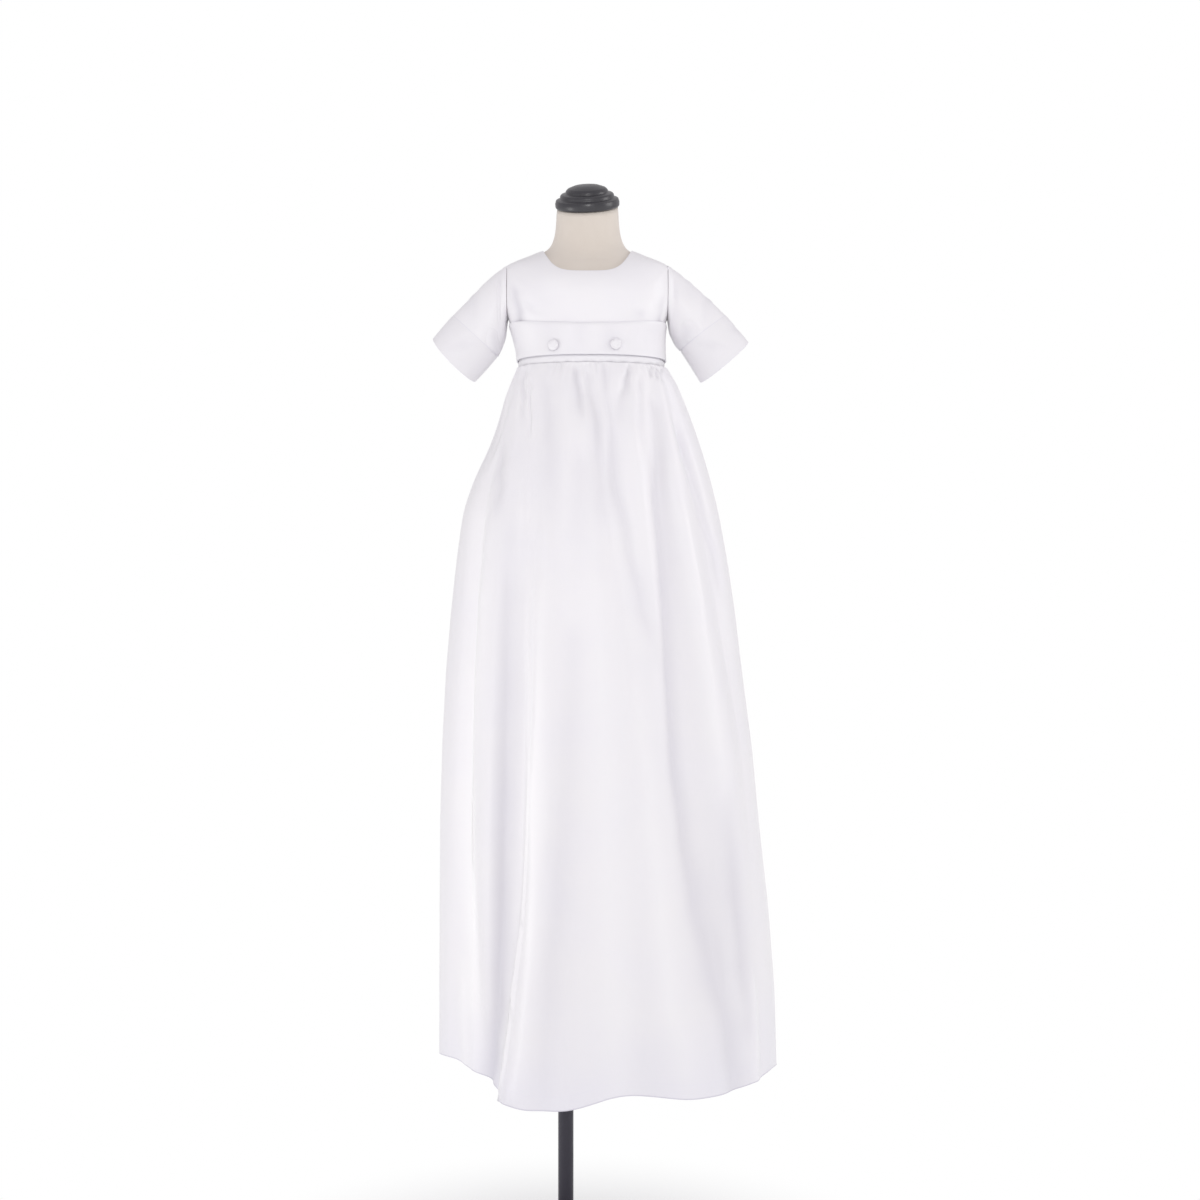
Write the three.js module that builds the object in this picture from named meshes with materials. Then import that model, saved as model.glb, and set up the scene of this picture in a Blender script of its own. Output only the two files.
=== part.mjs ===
// A baby's christening gown on a limbless dress form with a stand.
// Lengths are in millimetres. Z is up, the front faces -Y and the wearer's left side is at +X.
// The floor is Z = 0 and the stand's pole runs up the Z axis. The form stands a little to one side of
// the pole, so the gown's own tables count X from the form's middle.
// The cloth pieces are walls with an outer and an inner face, sewn edge to edge with a small seam gap.

import * as THREE from "three";

// Sizes.

const FORM_X = 26; // middle of the form, from the pole
const SEAM_GAP = 0.3; // between two pieces that meet
const CLOTH = 2.0; // wall of the bodice, sleeves and skirt
const CUFF_CLOTH = 2.3; // a cuff is a folded band, so it is thicker
const CUFF_STEP = 0.5; // how far a cuff stands out from its sleeve
const BELT_CLOTH = 1.8;
const BELT_GAP = 0.42; // between the bodice and the belt that lies on it
const STRIP_CLOTH = 2.1;
const SHOULDER_LIFT = 0.95; // the bodice lies this far above the form's shoulders

// The stand.
const BASE_RADIUS = 150;
const BASE_EDGE_HEIGHT = 7;
const BASE_CROWN_HEIGHT = 11;
const BASE_CROWN_RADIUS = 60;
const BASE_BEVEL = 1.5;
const POLE_RADIUS = 9.2;
// The collar around the pole's foot, from the bottom up: radius and height.
const COLLAR_OUTLINE = [
  { radius: 22, up: 0 },
  { radius: 22, up: 3 },
  { radius: 14, up: 9 },
  { radius: 13, up: 25 },
  { radius: 12, up: 26 },
];
const ROUND_COLUMNS = { base: 48, collar: 28, pole: 24, cap: 28 };

// The form, as level sections from its bottom to the top of its neck: half widths to the sides, to
// the front and to the back, and how boxy the section is (2 is a true ellipse).
const FORM_SECTIONS = [
  { z: 840, side: 64, front: 48, back: 47, boxy: 2.2 },
  { z: 846, side: 71, front: 54, back: 52, boxy: 2.2 },
  { z: 858, side: 78, front: 59, back: 57, boxy: 2.2 },
  { z: 880, side: 83, front: 62, back: 61, boxy: 2.2 },
  { z: 915, side: 85, front: 64, back: 63, boxy: 2.2 },
  { z: 960, side: 84, front: 64, back: 62, boxy: 2.2 },
  { z: 1010, side: 81, front: 62, back: 59, boxy: 2.2 },
  { z: 1060, side: 79, front: 61, back: 57, boxy: 2.2 },
  { z: 1104, side: 80, front: 62, back: 57.5, boxy: 2.3 },
  { z: 1130, side: 85, front: 63.5, back: 59, boxy: 2.4 },
  { z: 1148, side: 90, front: 64, back: 61, boxy: 2.6 },
  { z: 1160, side: 94.4, front: 64, back: 62, boxy: 2.75 },
  { z: 1175, side: 97, front: 63, back: 62.5, boxy: 2.8 },
  { z: 1190, side: 97.6, front: 59.5, back: 61, boxy: 2.8 },
  { z: 1201, side: 97.4, front: 54, back: 58, boxy: 2.8 },
  { z: 1209, side: 96.6, front: 49, back: 54, boxy: 2.7 },
  { z: 1214, side: 93.5, front: 45, back: 50, boxy: 2.6 },
  { z: 1217, side: 87, front: 42, back: 46.5, boxy: 2.5 },
  { z: 1221, side: 76, front: 39.5, back: 43, boxy: 2.4 },
  { z: 1227, side: 62.5, front: 36.5, back: 39, boxy: 2.2 },
  { z: 1232.5, side: 51, front: 35.5, back: 36.5, boxy: 2.1 },
  { z: 1238.5, side: 45, front: 34.8, back: 35.2, boxy: 2 },
  { z: 1247, side: 41, front: 34.3, back: 34.6, boxy: 2 },
  { z: 1260, side: 38, front: 34, back: 34, boxy: 2 },
  { z: 1286.7, side: 37, front: 33.6, back: 33.6, boxy: 2 },
];
// The neck is cut at a slant: its top leans forward, and a little towards the wearer's right.
const NECK_SLANT = { start: 1234, forward: 22, sideways: 2.5 };
const ARM_PLATE_X = 94.2; // the form's flat arm plates
const FORM_COLUMNS = 42;

// How much wider than the form the gown's inner face is, to each side, at a few heights.
const GOWN_EASE = [
  { z: 1088, left: 0.9, right: 10.6, front: 4.0, back: 4.0 },
  { z: 1104, left: 0.9, right: 10.4, front: 3.9, back: 4.0 },
  { z: 1125, left: 1.3, right: 5.4, front: 3.0, back: 3.2 },
  { z: 1147, left: 1.5, right: 2.0, front: 2.0, back: 2.0 },
  { z: 1170, left: 1.0, right: 1.0, front: 1.0, back: 1.2 },
  { z: 1200, left: 0.7, right: 0.7, front: 0.9, back: 0.9 },
  { z: 1215, left: 0.8, right: 0.8, front: 0.9, back: 0.8 },
  { z: 1240, left: 0.45, right: 0.45, front: 0.6, back: 0.6 },
];

// The bodice.
const BODICE_BOTTOM = 1103.2;
const ARMHOLE_X = 95.4; // the armhole seams stand upright at this distance from the middle
const NECK_POINT_Z = 1232.6; // where a shoulder seam ends at the neck
const NECK_FRONT_Z = 1200; // lowest point of the neckline, in front
const NECK_BACK_Z = 1219;
const NECK_ROUNDNESS = 1.45; // a higher number makes the neckline's bottom flatter
const BODICE_COLUMNS = 24;
const EDGE_CROWDING = 0.55; // how much closer a bodice panel's columns lie near its seams
const BODICE_ROWS = { side: 4, armhole: 7, shoulder: 4 };

// The wide band over the bottom of the bodice, and the narrow strip under it.
const BELT_BOTTOM = 1101.6;
const BELT_ROWS = 3;
const BELT_TOP = { front: 1138.5, side: 1146.5, back: 1147 };
const STRIP_TOP = 1102.9;
const STRIP_BOTTOM = 1092.8;
const BUTTON = { radius: 6.5, backRadius: 5.9, height: 4.2, edge: 1.4, steps: 5, columns: 18 };
const BUTTONS = [
  { name: "belt_button_right", x: -37.8, z: 1112.7 },
  { name: "belt_button_left", x: 32.2, z: 1113.2 },
];

// Each sleeve as slanting sections from the armhole to the open end: the section's top and bottom
// in front view (x away from the form's middle), its half depth from front to back, and how far its
// front edge hangs further out than its top and bottom.
const SLEEVE_COLUMNS = 26;
const RIGHT_SLEEVE = [
  { topX: 99.5, topZ: 1215, bottomX: 97.6, bottomZ: 1137, depth: 27.5 },
  { topX: 109, topZ: 1209, bottomX: 99.6, bottomZ: 1126, depth: 29 },
  { topX: 126, topZ: 1194, bottomX: 102, bottomZ: 1117.5, depth: 29.5 },
  { topX: 144, topZ: 1175, bottomX: 104.6, bottomZ: 1112.5, depth: 28.5 },
  { topX: 161, topZ: 1157.5, bottomX: 107.5, bottomZ: 1108.5, depth: 27, lead: 1.5 },
];
const RIGHT_CUFF = [
  { topX: 161.3, topZ: 1157.2, bottomX: 107.9, bottomZ: 1108.2, depth: 27, lead: 1.5 },
  { topX: 173.5, topZ: 1143.5, bottomX: 121, bottomZ: 1092.5, depth: 26.5, lead: 4 },
  { topX: 184.5, topZ: 1130, bottomX: 135, bottomZ: 1077.8, depth: 25.5, lead: 6.5 },
];
const LEFT_SLEEVE = [
  { topX: 100, topZ: 1214.5, bottomX: 97.8, bottomZ: 1139, depth: 27.5 },
  { topX: 111, topZ: 1207.5, bottomX: 100.5, bottomZ: 1130, depth: 29 },
  { topX: 128, topZ: 1193, bottomX: 103.5, bottomZ: 1123, depth: 29.5 },
  { topX: 147, topZ: 1176, bottomX: 107, bottomZ: 1119, depth: 28.5 },
  { topX: 165.5, topZ: 1157.5, bottomX: 111, bottomZ: 1115.5, depth: 27.5, lead: 1 },
];
const LEFT_CUFF = [
  { topX: 165.8, topZ: 1157.2, bottomX: 111.4, bottomZ: 1115.2, depth: 27.5, lead: 1 },
  { topX: 179.5, topZ: 1142, bottomX: 123.5, bottomZ: 1096.5, depth: 27, lead: 3 },
  { topX: 192.5, topZ: 1125.5, bottomX: 135.8, bottomZ: 1076.8, depth: 26, lead: 5 },
];

// The skirt's level sections without their folds. The front and back lengths count from the
// section's own middle, which moves back by middleY as the skirt widens.
const SKIRT_SECTIONS = [
  { z: 1092.4, left: 84, right: 94, front: 67.5, back: 62, middleY: 0, boxy: 2.3 },
  { z: 1085, left: 87, right: 99, front: 70.5, back: 65, middleY: 0, boxy: 2.3 },
  { z: 1075, left: 92, right: 106, front: 75, back: 69.5, middleY: 0, boxy: 2.25 },
  { z: 1060, left: 98.5, right: 113, front: 81, back: 76, middleY: 1, boxy: 2.2 },
  { z: 1036, left: 105, right: 123, front: 89, back: 85, middleY: 2, boxy: 2.15 },
  { z: 1004, left: 115, right: 134.5, front: 99, back: 95, middleY: 4, boxy: 2.1 },
  { z: 970, left: 132, right: 145, front: 108, back: 105, middleY: 6, boxy: 2.1 },
  { z: 934, left: 147, right: 154.5, front: 117, back: 114, middleY: 8, boxy: 2.1 },
  { z: 880, left: 155.5, right: 165.5, front: 128, back: 124, middleY: 11, boxy: 2.05 },
  { z: 816, left: 163, right: 176, front: 138, back: 134, middleY: 15, boxy: 2 },
  { z: 740, left: 170, right: 185, front: 147, back: 142, middleY: 18, boxy: 2 },
  { z: 655, left: 175, right: 197, front: 155, back: 149, middleY: 21, boxy: 2 },
  { z: 560, left: 178, right: 206, front: 162, back: 155, middleY: 24, boxy: 2 },
  { z: 456, left: 179.5, right: 218, front: 168, back: 160, middleY: 27, boxy: 2 },
  { z: 350, left: 180.5, right: 226.5, front: 174, back: 163, middleY: 29, boxy: 2 },
  { z: 250, left: 181, right: 229.5, front: 178, back: 165, middleY: 30, boxy: 2 },
];
// The heights at which the fold tables give their five values, from the waist to the hem.
const FOLD_HEIGHTS = [1090, 1000, 850, 560, 262];
// Each fold: where it lies (x from the form's middle), how far it comes out (plus) or goes in
// (minus), how wide it is, and lean, which makes one of its flanks steeper than the other.
const FRONT_FOLDS = [
  {
    name: "left_side_roll",
    x: [-82, -114, -155, -176, -178], out: [0, 0, 1, 1, 0], wide: [8, 12, 18, 22, 24],
    lean: 0,
  },
  {
    name: "left_flank",
    x: [-80, -104, -130, -150, -152], out: [0, 0, 0, -1, -15], wide: [8, 12, 16, 22, 26],
    lean: 0,
  },
  {
    name: "left_deep_fold",
    x: [-80, -108, -128, -140, -128], out: [-2, -5, -14, -22, -10], wide: [6, 9, 13, 17, 20],
    lean: 0.15,
  },
  {
    name: "left_panel",
    x: [-76, -84, -92, -102, -110], out: [1, 2, 5, 6, 0], wide: [7, 10, 15, 18, 14],
    lean: 0,
  },
  {
    name: "overlap_valley",
    x: [-72, -66, -64, -68, -100], out: [-3, -6, -10, -15, -13], wide: [5, 7, 9, 12, 11],
    lean: 0,
  },
  {
    name: "overlap_edge",
    x: [-66, -52, -46, -46, -80], out: [1, 1, 2, 8, 32], wide: [6, 9, 13, 18, 22],
    lean: -0.4,
  },
  {
    name: "front_left_roll",
    x: [-38, -30, -24, -18, -22], out: [1, 2, 3, 5, 20], wide: [10, 16, 26, 34, 40],
    lean: 0,
  },
  {
    name: "short_gather",
    x: [-16, -6, 0, 4, 8], out: [-2, -2.5, 0, 0, 0], wide: [5, 8, 12, 14, 14],
    lean: 0,
  },
  {
    name: "middle_fold",
    x: [2, 13, 34, 71, 84], out: [-2.5, -5, -5, -3, -2], wide: [5, 7, 10, 14, 20],
    lean: 0,
  },
  {
    name: "second_gather",
    x: [50, 32, 34, 40, 50], out: [-2.5, -4, -1, 0, 0], wide: [5, 7, 9, 12, 14],
    lean: 0,
  },
  {
    name: "front_dip",
    x: [30, 34, 40, 52, 62], out: [0, 0, 0, -3, -17], wide: [10, 14, 20, 30, 36],
    lean: 0,
  },
  {
    name: "right_deep_fold",
    x: [74, 80, 99, 132, 172], out: [-3, -8, -13, -15, -4], wide: [6, 9, 14, 24, 26],
    lean: 0.2,
  },
  {
    name: "right_panel",
    x: [82, 96, 122, 168, 142], out: [1, 2, 4, 6, 14], wide: [7, 10, 16, 24, 30],
    lean: 0,
  },
  {
    name: "right_side_fold",
    x: [89, 112, 147, 190, 206], out: [-2.5, -5, -6, -3, -2], wide: [5, 8, 13, 18, 14],
    lean: 0,
  },
];
const BACK_FOLDS = [
  {
    name: "back_left_outer",
    x: [-78, -104, -140, -158, -162], out: [-2, -5, -9, -12, -14], wide: [6, 9, 14, 20, 24],
    lean: 0.1,
  },
  {
    name: "back_left_inner",
    x: [-52, -62, -80, -96, -104], out: [-2.5, -6, -11, -17, -22], wide: [6, 9, 15, 22, 26],
    lean: -0.2,
  },
  {
    name: "back_left_roll",
    x: [-30, -38, -50, -58, -62], out: [1, 2, 4, 6, 9], wide: [8, 12, 18, 24, 28],
    lean: 0,
  },
  {
    name: "back_middle",
    x: [-4, -8, -14, -18, -20], out: [-2.5, -5, -9, -13, -18], wide: [6, 9, 14, 20, 26],
    lean: 0.15,
  },
  {
    name: "back_short",
    x: [20, 22, 26, 30, 34], out: [-2, -3, -1, 0, 0], wide: [5, 7, 10, 12, 12],
    lean: 0,
  },
  {
    name: "back_right_inner",
    x: [40, 48, 58, 70, 74], out: [-2.5, -6, -10, -15, -20], wide: [6, 9, 15, 21, 25],
    lean: -0.1,
  },
  {
    name: "back_right_roll",
    x: [58, 70, 90, 108, 116], out: [1, 2, 4, 7, 9], wide: [8, 12, 18, 24, 28],
    lean: 0,
  },
  {
    name: "back_right_outer",
    x: [76, 98, 130, 156, 168], out: [-2.5, -6, -10, -15, -18], wide: [6, 9, 15, 22, 26],
    lean: 0.2,
  },
  {
    name: "back_right_side",
    x: [90, 118, 150, 180, 196], out: [-1, -3, -4, -5, -5], wide: [6, 9, 13, 16, 16],
    lean: 0,
  },
];
// The hem's height by direction, in degrees from the middle front towards the wearer's left.
const HEM_HEIGHTS = [
  { angle: -180, z: 262 },
  { angle: -120, z: 266 },
  { angle: -90, z: 267 },
  { angle: -75, z: 275 },
  { angle: -65, z: 278 },
  { angle: -50, z: 270 },
  { angle: -39, z: 264 },
  { angle: -32, z: 252 },
  { angle: -26, z: 257 },
  { angle: -19, z: 250.5 },
  { angle: -10, z: 250.5 },
  { angle: 0, z: 254 },
  { angle: 8, z: 259 },
  { angle: 20, z: 254.5 },
  { angle: 30, z: 252 },
  { angle: 38, z: 254.5 },
  { angle: 50, z: 252 },
  { angle: 74, z: 259.5 },
  { angle: 90, z: 253 },
  { angle: 130, z: 260 },
  { angle: 180, z: 262 },
];
const FOLD_SHARPNESS = 1.7; // a lower number gives folds a narrower crease
const SKIRT_TOP = 1092.4;
const GATHERS = 28; // small waves all round the waist seam
const GATHER_DEPTH = 1.6;
const GATHER_LENGTH = 38; // the waves fade out over this drop
const GATHER_UNEVENNESS = { share: 0.35, times: 5, shift: 1 }; // some gathers stand out more than others
const FOLD_START = 26; // the large folds grow to their full depth over this drop
const FRONT_COLUMNS = 56;
const BACK_COLUMNS = 44;
// Rows of the skirt, as shares of the way from its top to its hem, close together under the waist.
const SKIRT_ROWS = [
  0, 0.009, 0.021, 0.04, 0.07, 0.11, 0.155, 0.205, 0.27, 0.35, 0.44, 0.54, 0.65, 0.77, 0.89, 1,
];

// The black cap on the neck, as a turned outline from the bottom up: radius and height.
const CAP_BOTTOM = 1287;
const CAP_OUTLINE = [
  { radius: 36.8, up: 0 },
  { radius: 38.4, up: 1.6 },
  { radius: 38.6, up: 6 },
  { radius: 37.4, up: 10 },
  { radius: 32.6, up: 11.4 },
  { radius: 32.2, up: 15 },
  { radius: 30.6, up: 16.6 },
  { radius: 25.6, up: 17.6 },
  { radius: 25.2, up: 20.4 },
  { radius: 22.6, up: 23 },
  { radius: 15, up: 25.8 },
  { radius: 7, up: 27 },
];

// Small tools.

const DEGREE = Math.PI / 180;
const SLOPE_STEP = 0.25; // distance over which a surface's slope is measured
const SLOPE_TURN = 0.2 * DEGREE;
const SEARCH_STEPS = 40;
const mix = (a, b, t) => a + (b - a) * t;
const clamp = (v, low, high) => Math.min(high, Math.max(low, v));
const power = (base, exponent) => Math.sign(base) * Math.abs(base) ** exponent;

// The slope of a smooth curve through table rows: flat at a turning point, so it never overshoots.
function slopeAt(rows, key, column, i) {
  const rise = (k) =>
    (rows[k + 1][column] - rows[k][column]) / (rows[k + 1][key] - rows[k][key]);
  if (i === 0) return rise(0);
  if (i === rows.length - 1) return rise(i - 1);
  const before = rise(i - 1);
  const after = rise(i);
  return before * after <= 0 ? 0 : (2 * before * after) / (before + after);
}

// A column of a table, read smoothly at any value of its key column, which grows down the table.
function lookup(rows, key, column, at) {
  const last = rows.length - 1;
  if (at <= rows[0][key]) return rows[0][column];
  if (at >= rows[last][key]) return rows[last][column];
  let i = 0;
  while (rows[i + 1][key] < at) i += 1;
  const step = rows[i + 1][key] - rows[i][key];
  const t = (at - rows[i][key]) / step;
  const from = slopeAt(rows, key, column, i) * step;
  const to = slopeAt(rows, key, column, i + 1) * step;
  const a = rows[i][column];
  const b = rows[i + 1][column];
  return (
    a * (1 + 2 * t) * (1 - t) ** 2 + from * t * (1 - t) ** 2 + b * t * t * (3 - 2 * t) - to * t * t * (1 - t)
  );
}

const skirtRowsUpwards = [...SKIRT_SECTIONS].reverse();
const foldRows = (fold) =>
  FOLD_HEIGHTS.map((z, i) => ({ z, x: fold.x[i], out: fold.out[i], wide: fold.wide[i] })).reverse();

// Turns a closed surface to face outwards.
function facingOut(geometry) {
  const p = geometry.attributes.position;
  const index = geometry.index.array;
  const [a, b, c] = [new THREE.Vector3(), new THREE.Vector3(), new THREE.Vector3()];
  let volume = 0;
  for (let i = 0; i < index.length; i += 3) {
    a.fromBufferAttribute(p, index[i]);
    b.fromBufferAttribute(p, index[i + 1]);
    c.fromBufferAttribute(p, index[i + 2]);
    volume += a.dot(b.cross(c));
  }
  if (volume < 0)
    for (let i = 0; i < index.length; i += 3) [index[i + 1], index[i + 2]] = [index[i + 2], index[i + 1]];
  geometry.computeVertexNormals();
  return geometry;
}

// A panel of cloth: a flat board of columns by rows, bent so that each of its points lands where
// at(column, row, depth) says. Depth is 0 on the inner face and 1 on the outer face.
function panel(columns, rows, at) {
  const board = new THREE.BoxGeometry(1, 1, 1, columns, rows, 1);
  const p = board.attributes.position;
  for (let i = 0; i < p.count; i += 1) {
    const column = Math.round((p.getX(i) + 0.5) * columns);
    const row = Math.round((p.getY(i) + 0.5) * rows);
    const spot = at(column, row, Math.round(p.getZ(i) + 0.5));
    p.setXYZ(i, spot.x + FORM_X, spot.y, spot.z);
  }
  return facingOut(board);
}

// A band or tube of cloth that closes on itself: a ring turned from a thin upright outline, bent
// so that each of its points lands where at(column, row, depth) says.
function ring(columns, rows, at) {
  const outline = [];
  for (let row = 0; row <= rows; row += 1) outline.push({ row, depth: 1 });
  for (let row = rows; row >= 0; row -= 1) outline.push({ row, depth: 0 });
  outline.push(outline[0]);
  const turned = new THREE.LatheGeometry(
    outline.map((o) => new THREE.Vector2(2 + o.depth, o.row)),
    columns,
  );
  const p = turned.attributes.position;
  for (let i = 0; i < p.count; i += 1) {
    const { row, depth } = outline[i % outline.length];
    const column = Math.floor(i / outline.length) % columns;
    const spot = at(column, row, depth);
    p.setXYZ(i, spot.x + FORM_X, spot.y, spot.z);
  }
  return facingOut(turned);
}

// Surfaces of the form and of the bodice.

// A level section of the form, and of the gown's inner face around it.
function formSection(z) {
  const side = lookup(FORM_SECTIONS, "z", "side", z);
  return {
    left: side,
    right: side,
    front: lookup(FORM_SECTIONS, "z", "front", z),
    back: lookup(FORM_SECTIONS, "z", "back", z),
    boxy: lookup(FORM_SECTIONS, "z", "boxy", z),
  };
}

function gownSection(z) {
  const section = formSection(z - SHOULDER_LIFT);
  for (const way of ["left", "right", "front", "back"]) section[way] += lookup(GOWN_EASE, "z", way, z);
  return section;
}

// The point of a section that lies at x, on the front or on the back.
function pointAt(section, x, z, onBack) {
  const across = x < 0 ? section.left : section.right;
  const deep = onBack ? section.back : section.front;
  const share = clamp(Math.abs(x) / across, 0, 1);
  const y = deep * (1 - share ** section.boxy) ** (1 / section.boxy);
  return new THREE.Vector3(x, onBack ? y : -y, z);
}

// The direction in which the gown's surface faces at one of its points.
function gownFacing(spot) {
  const step = SLOPE_STEP;
  const here = gownSection(spot.z);
  const above = gownSection(spot.z + step);
  const below = gownSection(spot.z - step);
  const wayX = spot.x < 0 ? "left" : "right";
  const wayY = spot.y > 0 ? "back" : "front";
  const n = here.boxy;
  const shareX = Math.abs(spot.x) / here[wayX];
  const shareY = Math.abs(spot.y) / here[wayY];
  const growX = (above[wayX] - below[wayX]) / (2 * step);
  const growY = (above[wayY] - below[wayY]) / (2 * step);
  return new THREE.Vector3(
    (Math.sign(spot.x) * shareX ** (n - 1)) / here[wayX],
    (Math.sign(spot.y) * shareY ** (n - 1)) / here[wayY],
    -(shareX ** n * growX) / here[wayX] - (shareY ** n * growY) / here[wayY],
  ).normalize();
}

// A point on the gown's inner face, moved out by a distance.
function onGown(x, z, onBack, out) {
  const spot = pointAt(gownSection(z), x, z, onBack);
  return spot.addScaledVector(gownFacing(spot), out);
}

// How far out a bodice panel reaches at a height: to its side or shoulder seam, or only to the
// armhole seam where the body is wider than that.
function reach(z, side, onBack) {
  const widest = side < 0 ? gownSection(z).left : gownSection(z).right;
  let x = widest;
  for (let i = 0; i < SEARCH_STEPS; i += 1) {
    const spot = pointAt(gownSection(z), side * x, z, onBack);
    x = Math.min(widest, ARMHOLE_X - CLOTH * Math.abs(gownFacing(spot).x));
  }
  return side * x;
}

// Height at which the outer face first or last reaches the armhole seam's plane.
function armholeEnd(side, low, high) {
  const outside = (z) => {
    const widest = side < 0 ? gownSection(z).left : gownSection(z).right;
    const spot = new THREE.Vector3(side * widest, 0, z);
    return Math.abs(spot.addScaledVector(gownFacing(spot), CLOTH).x) - ARMHOLE_X;
  };
  let [a, b] = [low, high];
  for (let i = 0; i < SEARCH_STEPS; i += 1) {
    const middle = (a + b) / 2;
    if (Math.sign(outside(middle)) === Math.sign(outside(a))) a = middle;
    else b = middle;
  }
  return (a + b) / 2;
}
const CHEST_Z = 1185; // a height at which the armholes are open on both sides
const armholes = {
  [-1]: { bottom: armholeEnd(-1, BODICE_BOTTOM, CHEST_Z), top: armholeEnd(-1, CHEST_Z, NECK_POINT_Z) },
  [1]: { bottom: armholeEnd(1, BODICE_BOTTOM, CHEST_Z), top: armholeEnd(1, CHEST_Z, NECK_POINT_Z) },
};

// Height of a bodice panel's edge at each of its rows: up the side seam, up the armhole and along
// the shoulder seam to the neck.
function edgeHeight(row, side) {
  const { side: low, armhole, shoulder } = BODICE_ROWS;
  const { bottom, top } = armholes[side];
  if (row < low) return mix(BODICE_BOTTOM, BELT_TOP.side, row / (low - 1));
  if (row === low) return bottom;
  if (row <= low + armhole) {
    const t = (row - low) / armhole;
    return mix(bottom, top, (1 - Math.cos(Math.PI * t)) / 2);
  }
  return mix(top, NECK_POINT_Z, (row - low - armhole) / shoulder);
}

// Columns of the bodice run from -1 at one seam to 1 at the other, closer together near the seams.
const crowded = (u) => mix(u, Math.sin(u * 90 * DEGREE), EDGE_CROWDING);
const scoop = (u) => (1 - Math.cos(Math.abs(u) ** NECK_ROUNDNESS * 180 * DEGREE)) / 2;
const spreadAt = (u, section) => power(Math.sin(crowded(u) * 90 * DEGREE), 2 / section.boxy);

function bodicePanel(onBack) {
  const rows = BODICE_ROWS.side + BODICE_ROWS.armhole + BODICE_ROWS.shoulder;
  const neckZ = onBack ? NECK_BACK_Z : NECK_FRONT_Z;
  const at = (column, row, depth) => {
    const u = (2 * column) / BODICE_COLUMNS - 1;
    const side = u < 0 ? -1 : 1;
    const endZ = edgeHeight(row, side);
    const middleZ = mix(BODICE_BOTTOM, neckZ, row / rows);
    const z = mix(middleZ, endZ, scoop(crowded(u)));
    const x = reach(endZ, side, onBack) * Math.abs(spreadAt(u, gownSection(z)));
    const spot = onGown(x, z, onBack, depth * CLOTH);
    // the seam down the side and over the shoulder stands half a gap away from the middle plane
    const edge = SEAM_GAP / 2;
    spot.y = onBack ? Math.max(spot.y, edge) : Math.min(spot.y, -edge);
    return spot;
  };
  return panel(BODICE_COLUMNS, rows, at);
}

// Belt, strip and buttons.

const BELT_OUT = CLOTH + BELT_GAP;

// A band around the gown on the bodice's own columns. Its upper edge may dip towards the middle, and
// out is where its inner face lies.
function band(bottom, top, out, thick, rows) {
  return ring(2 * BODICE_COLUMNS, rows, (column, row, depth) => {
    const onBack = column > BODICE_COLUMNS;
    const u = onBack ? 3 - (2 * column) / BODICE_COLUMNS : (2 * column) / BODICE_COLUMNS - 1;
    const z = mix(bottom, top(onBack, Math.cos(crowded(u) * 90 * DEGREE)), row / rows);
    const section = gownSection(z);
    const x = (u < 0 ? section.left : section.right) * spreadAt(u, section);
    return onGown(x, z, onBack, out + depth * thick);
  });
}
const beltTop = (onBack, toMiddle) =>
  mix(BELT_TOP.side, onBack ? BELT_TOP.back : BELT_TOP.front, toMiddle ** 2);

// A domed button covered with cloth, its flat back towards the belt.
function button(x, z) {
  const { radius, backRadius, height, edge, steps, columns } = BUTTON;
  const outline = [new THREE.Vector2(0, 0), new THREE.Vector2(backRadius, 0)];
  for (let i = 0; i <= steps; i += 1) {
    const turn = (i / steps) * 90 * DEGREE;
    outline.push(
      new THREE.Vector2(i === steps ? 0 : radius * Math.cos(turn), edge + (height - edge) * Math.sin(turn)),
    );
  }
  const dome = new THREE.LatheGeometry(outline, columns);
  const seat = onGown(x, z, false, BELT_OUT + BELT_CLOTH + SEAM_GAP);
  const facing = gownFacing(pointAt(gownSection(z), x, z, false));
  dome.applyQuaternion(new THREE.Quaternion().setFromUnitVectors(new THREE.Vector3(0, 1, 0), facing));
  dome.translate(seat.x + FORM_X, seat.y, seat.z);
  return facingOut(dome);
}

// Sleeves and cuffs.

// The armhole seam as a closed curve on the bodice's outer face, started at the shoulder.
function armholePoint(side, turn) {
  const { bottom, top } = armholes[side];
  const z = mix(bottom, top, (1 + Math.cos(turn)) / 2);
  const onBack = Math.sin(turn) > 0;
  const spot = onGown(reach(z, side, onBack), z, onBack, CLOTH);
  return new THREE.Vector3(side * (ARMHOLE_X + SEAM_GAP), spot.y, spot.z);
}

const sectionPoint = (side, row, turn, grow) => {
  const top = new THREE.Vector3(side * row.topX, 0, row.topZ);
  const bottom = new THREE.Vector3(side * row.bottomX, 0, row.bottomZ);
  const middle = top.clone().add(bottom).divideScalar(2);
  const up = top.sub(middle);
  const half = up.length();
  const outwards = new THREE.Vector3((side * up.z) / half, 0, (-side * up.x) / half);
  return middle
    .addScaledVector(up, (Math.cos(turn) * (half + grow)) / half)
    .addScaledVector(outwards, -Math.sin(turn) * (row.lead ?? 0))
    .add(new THREE.Vector3(0, (row.depth + grow) * Math.sin(turn), 0));
};

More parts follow.
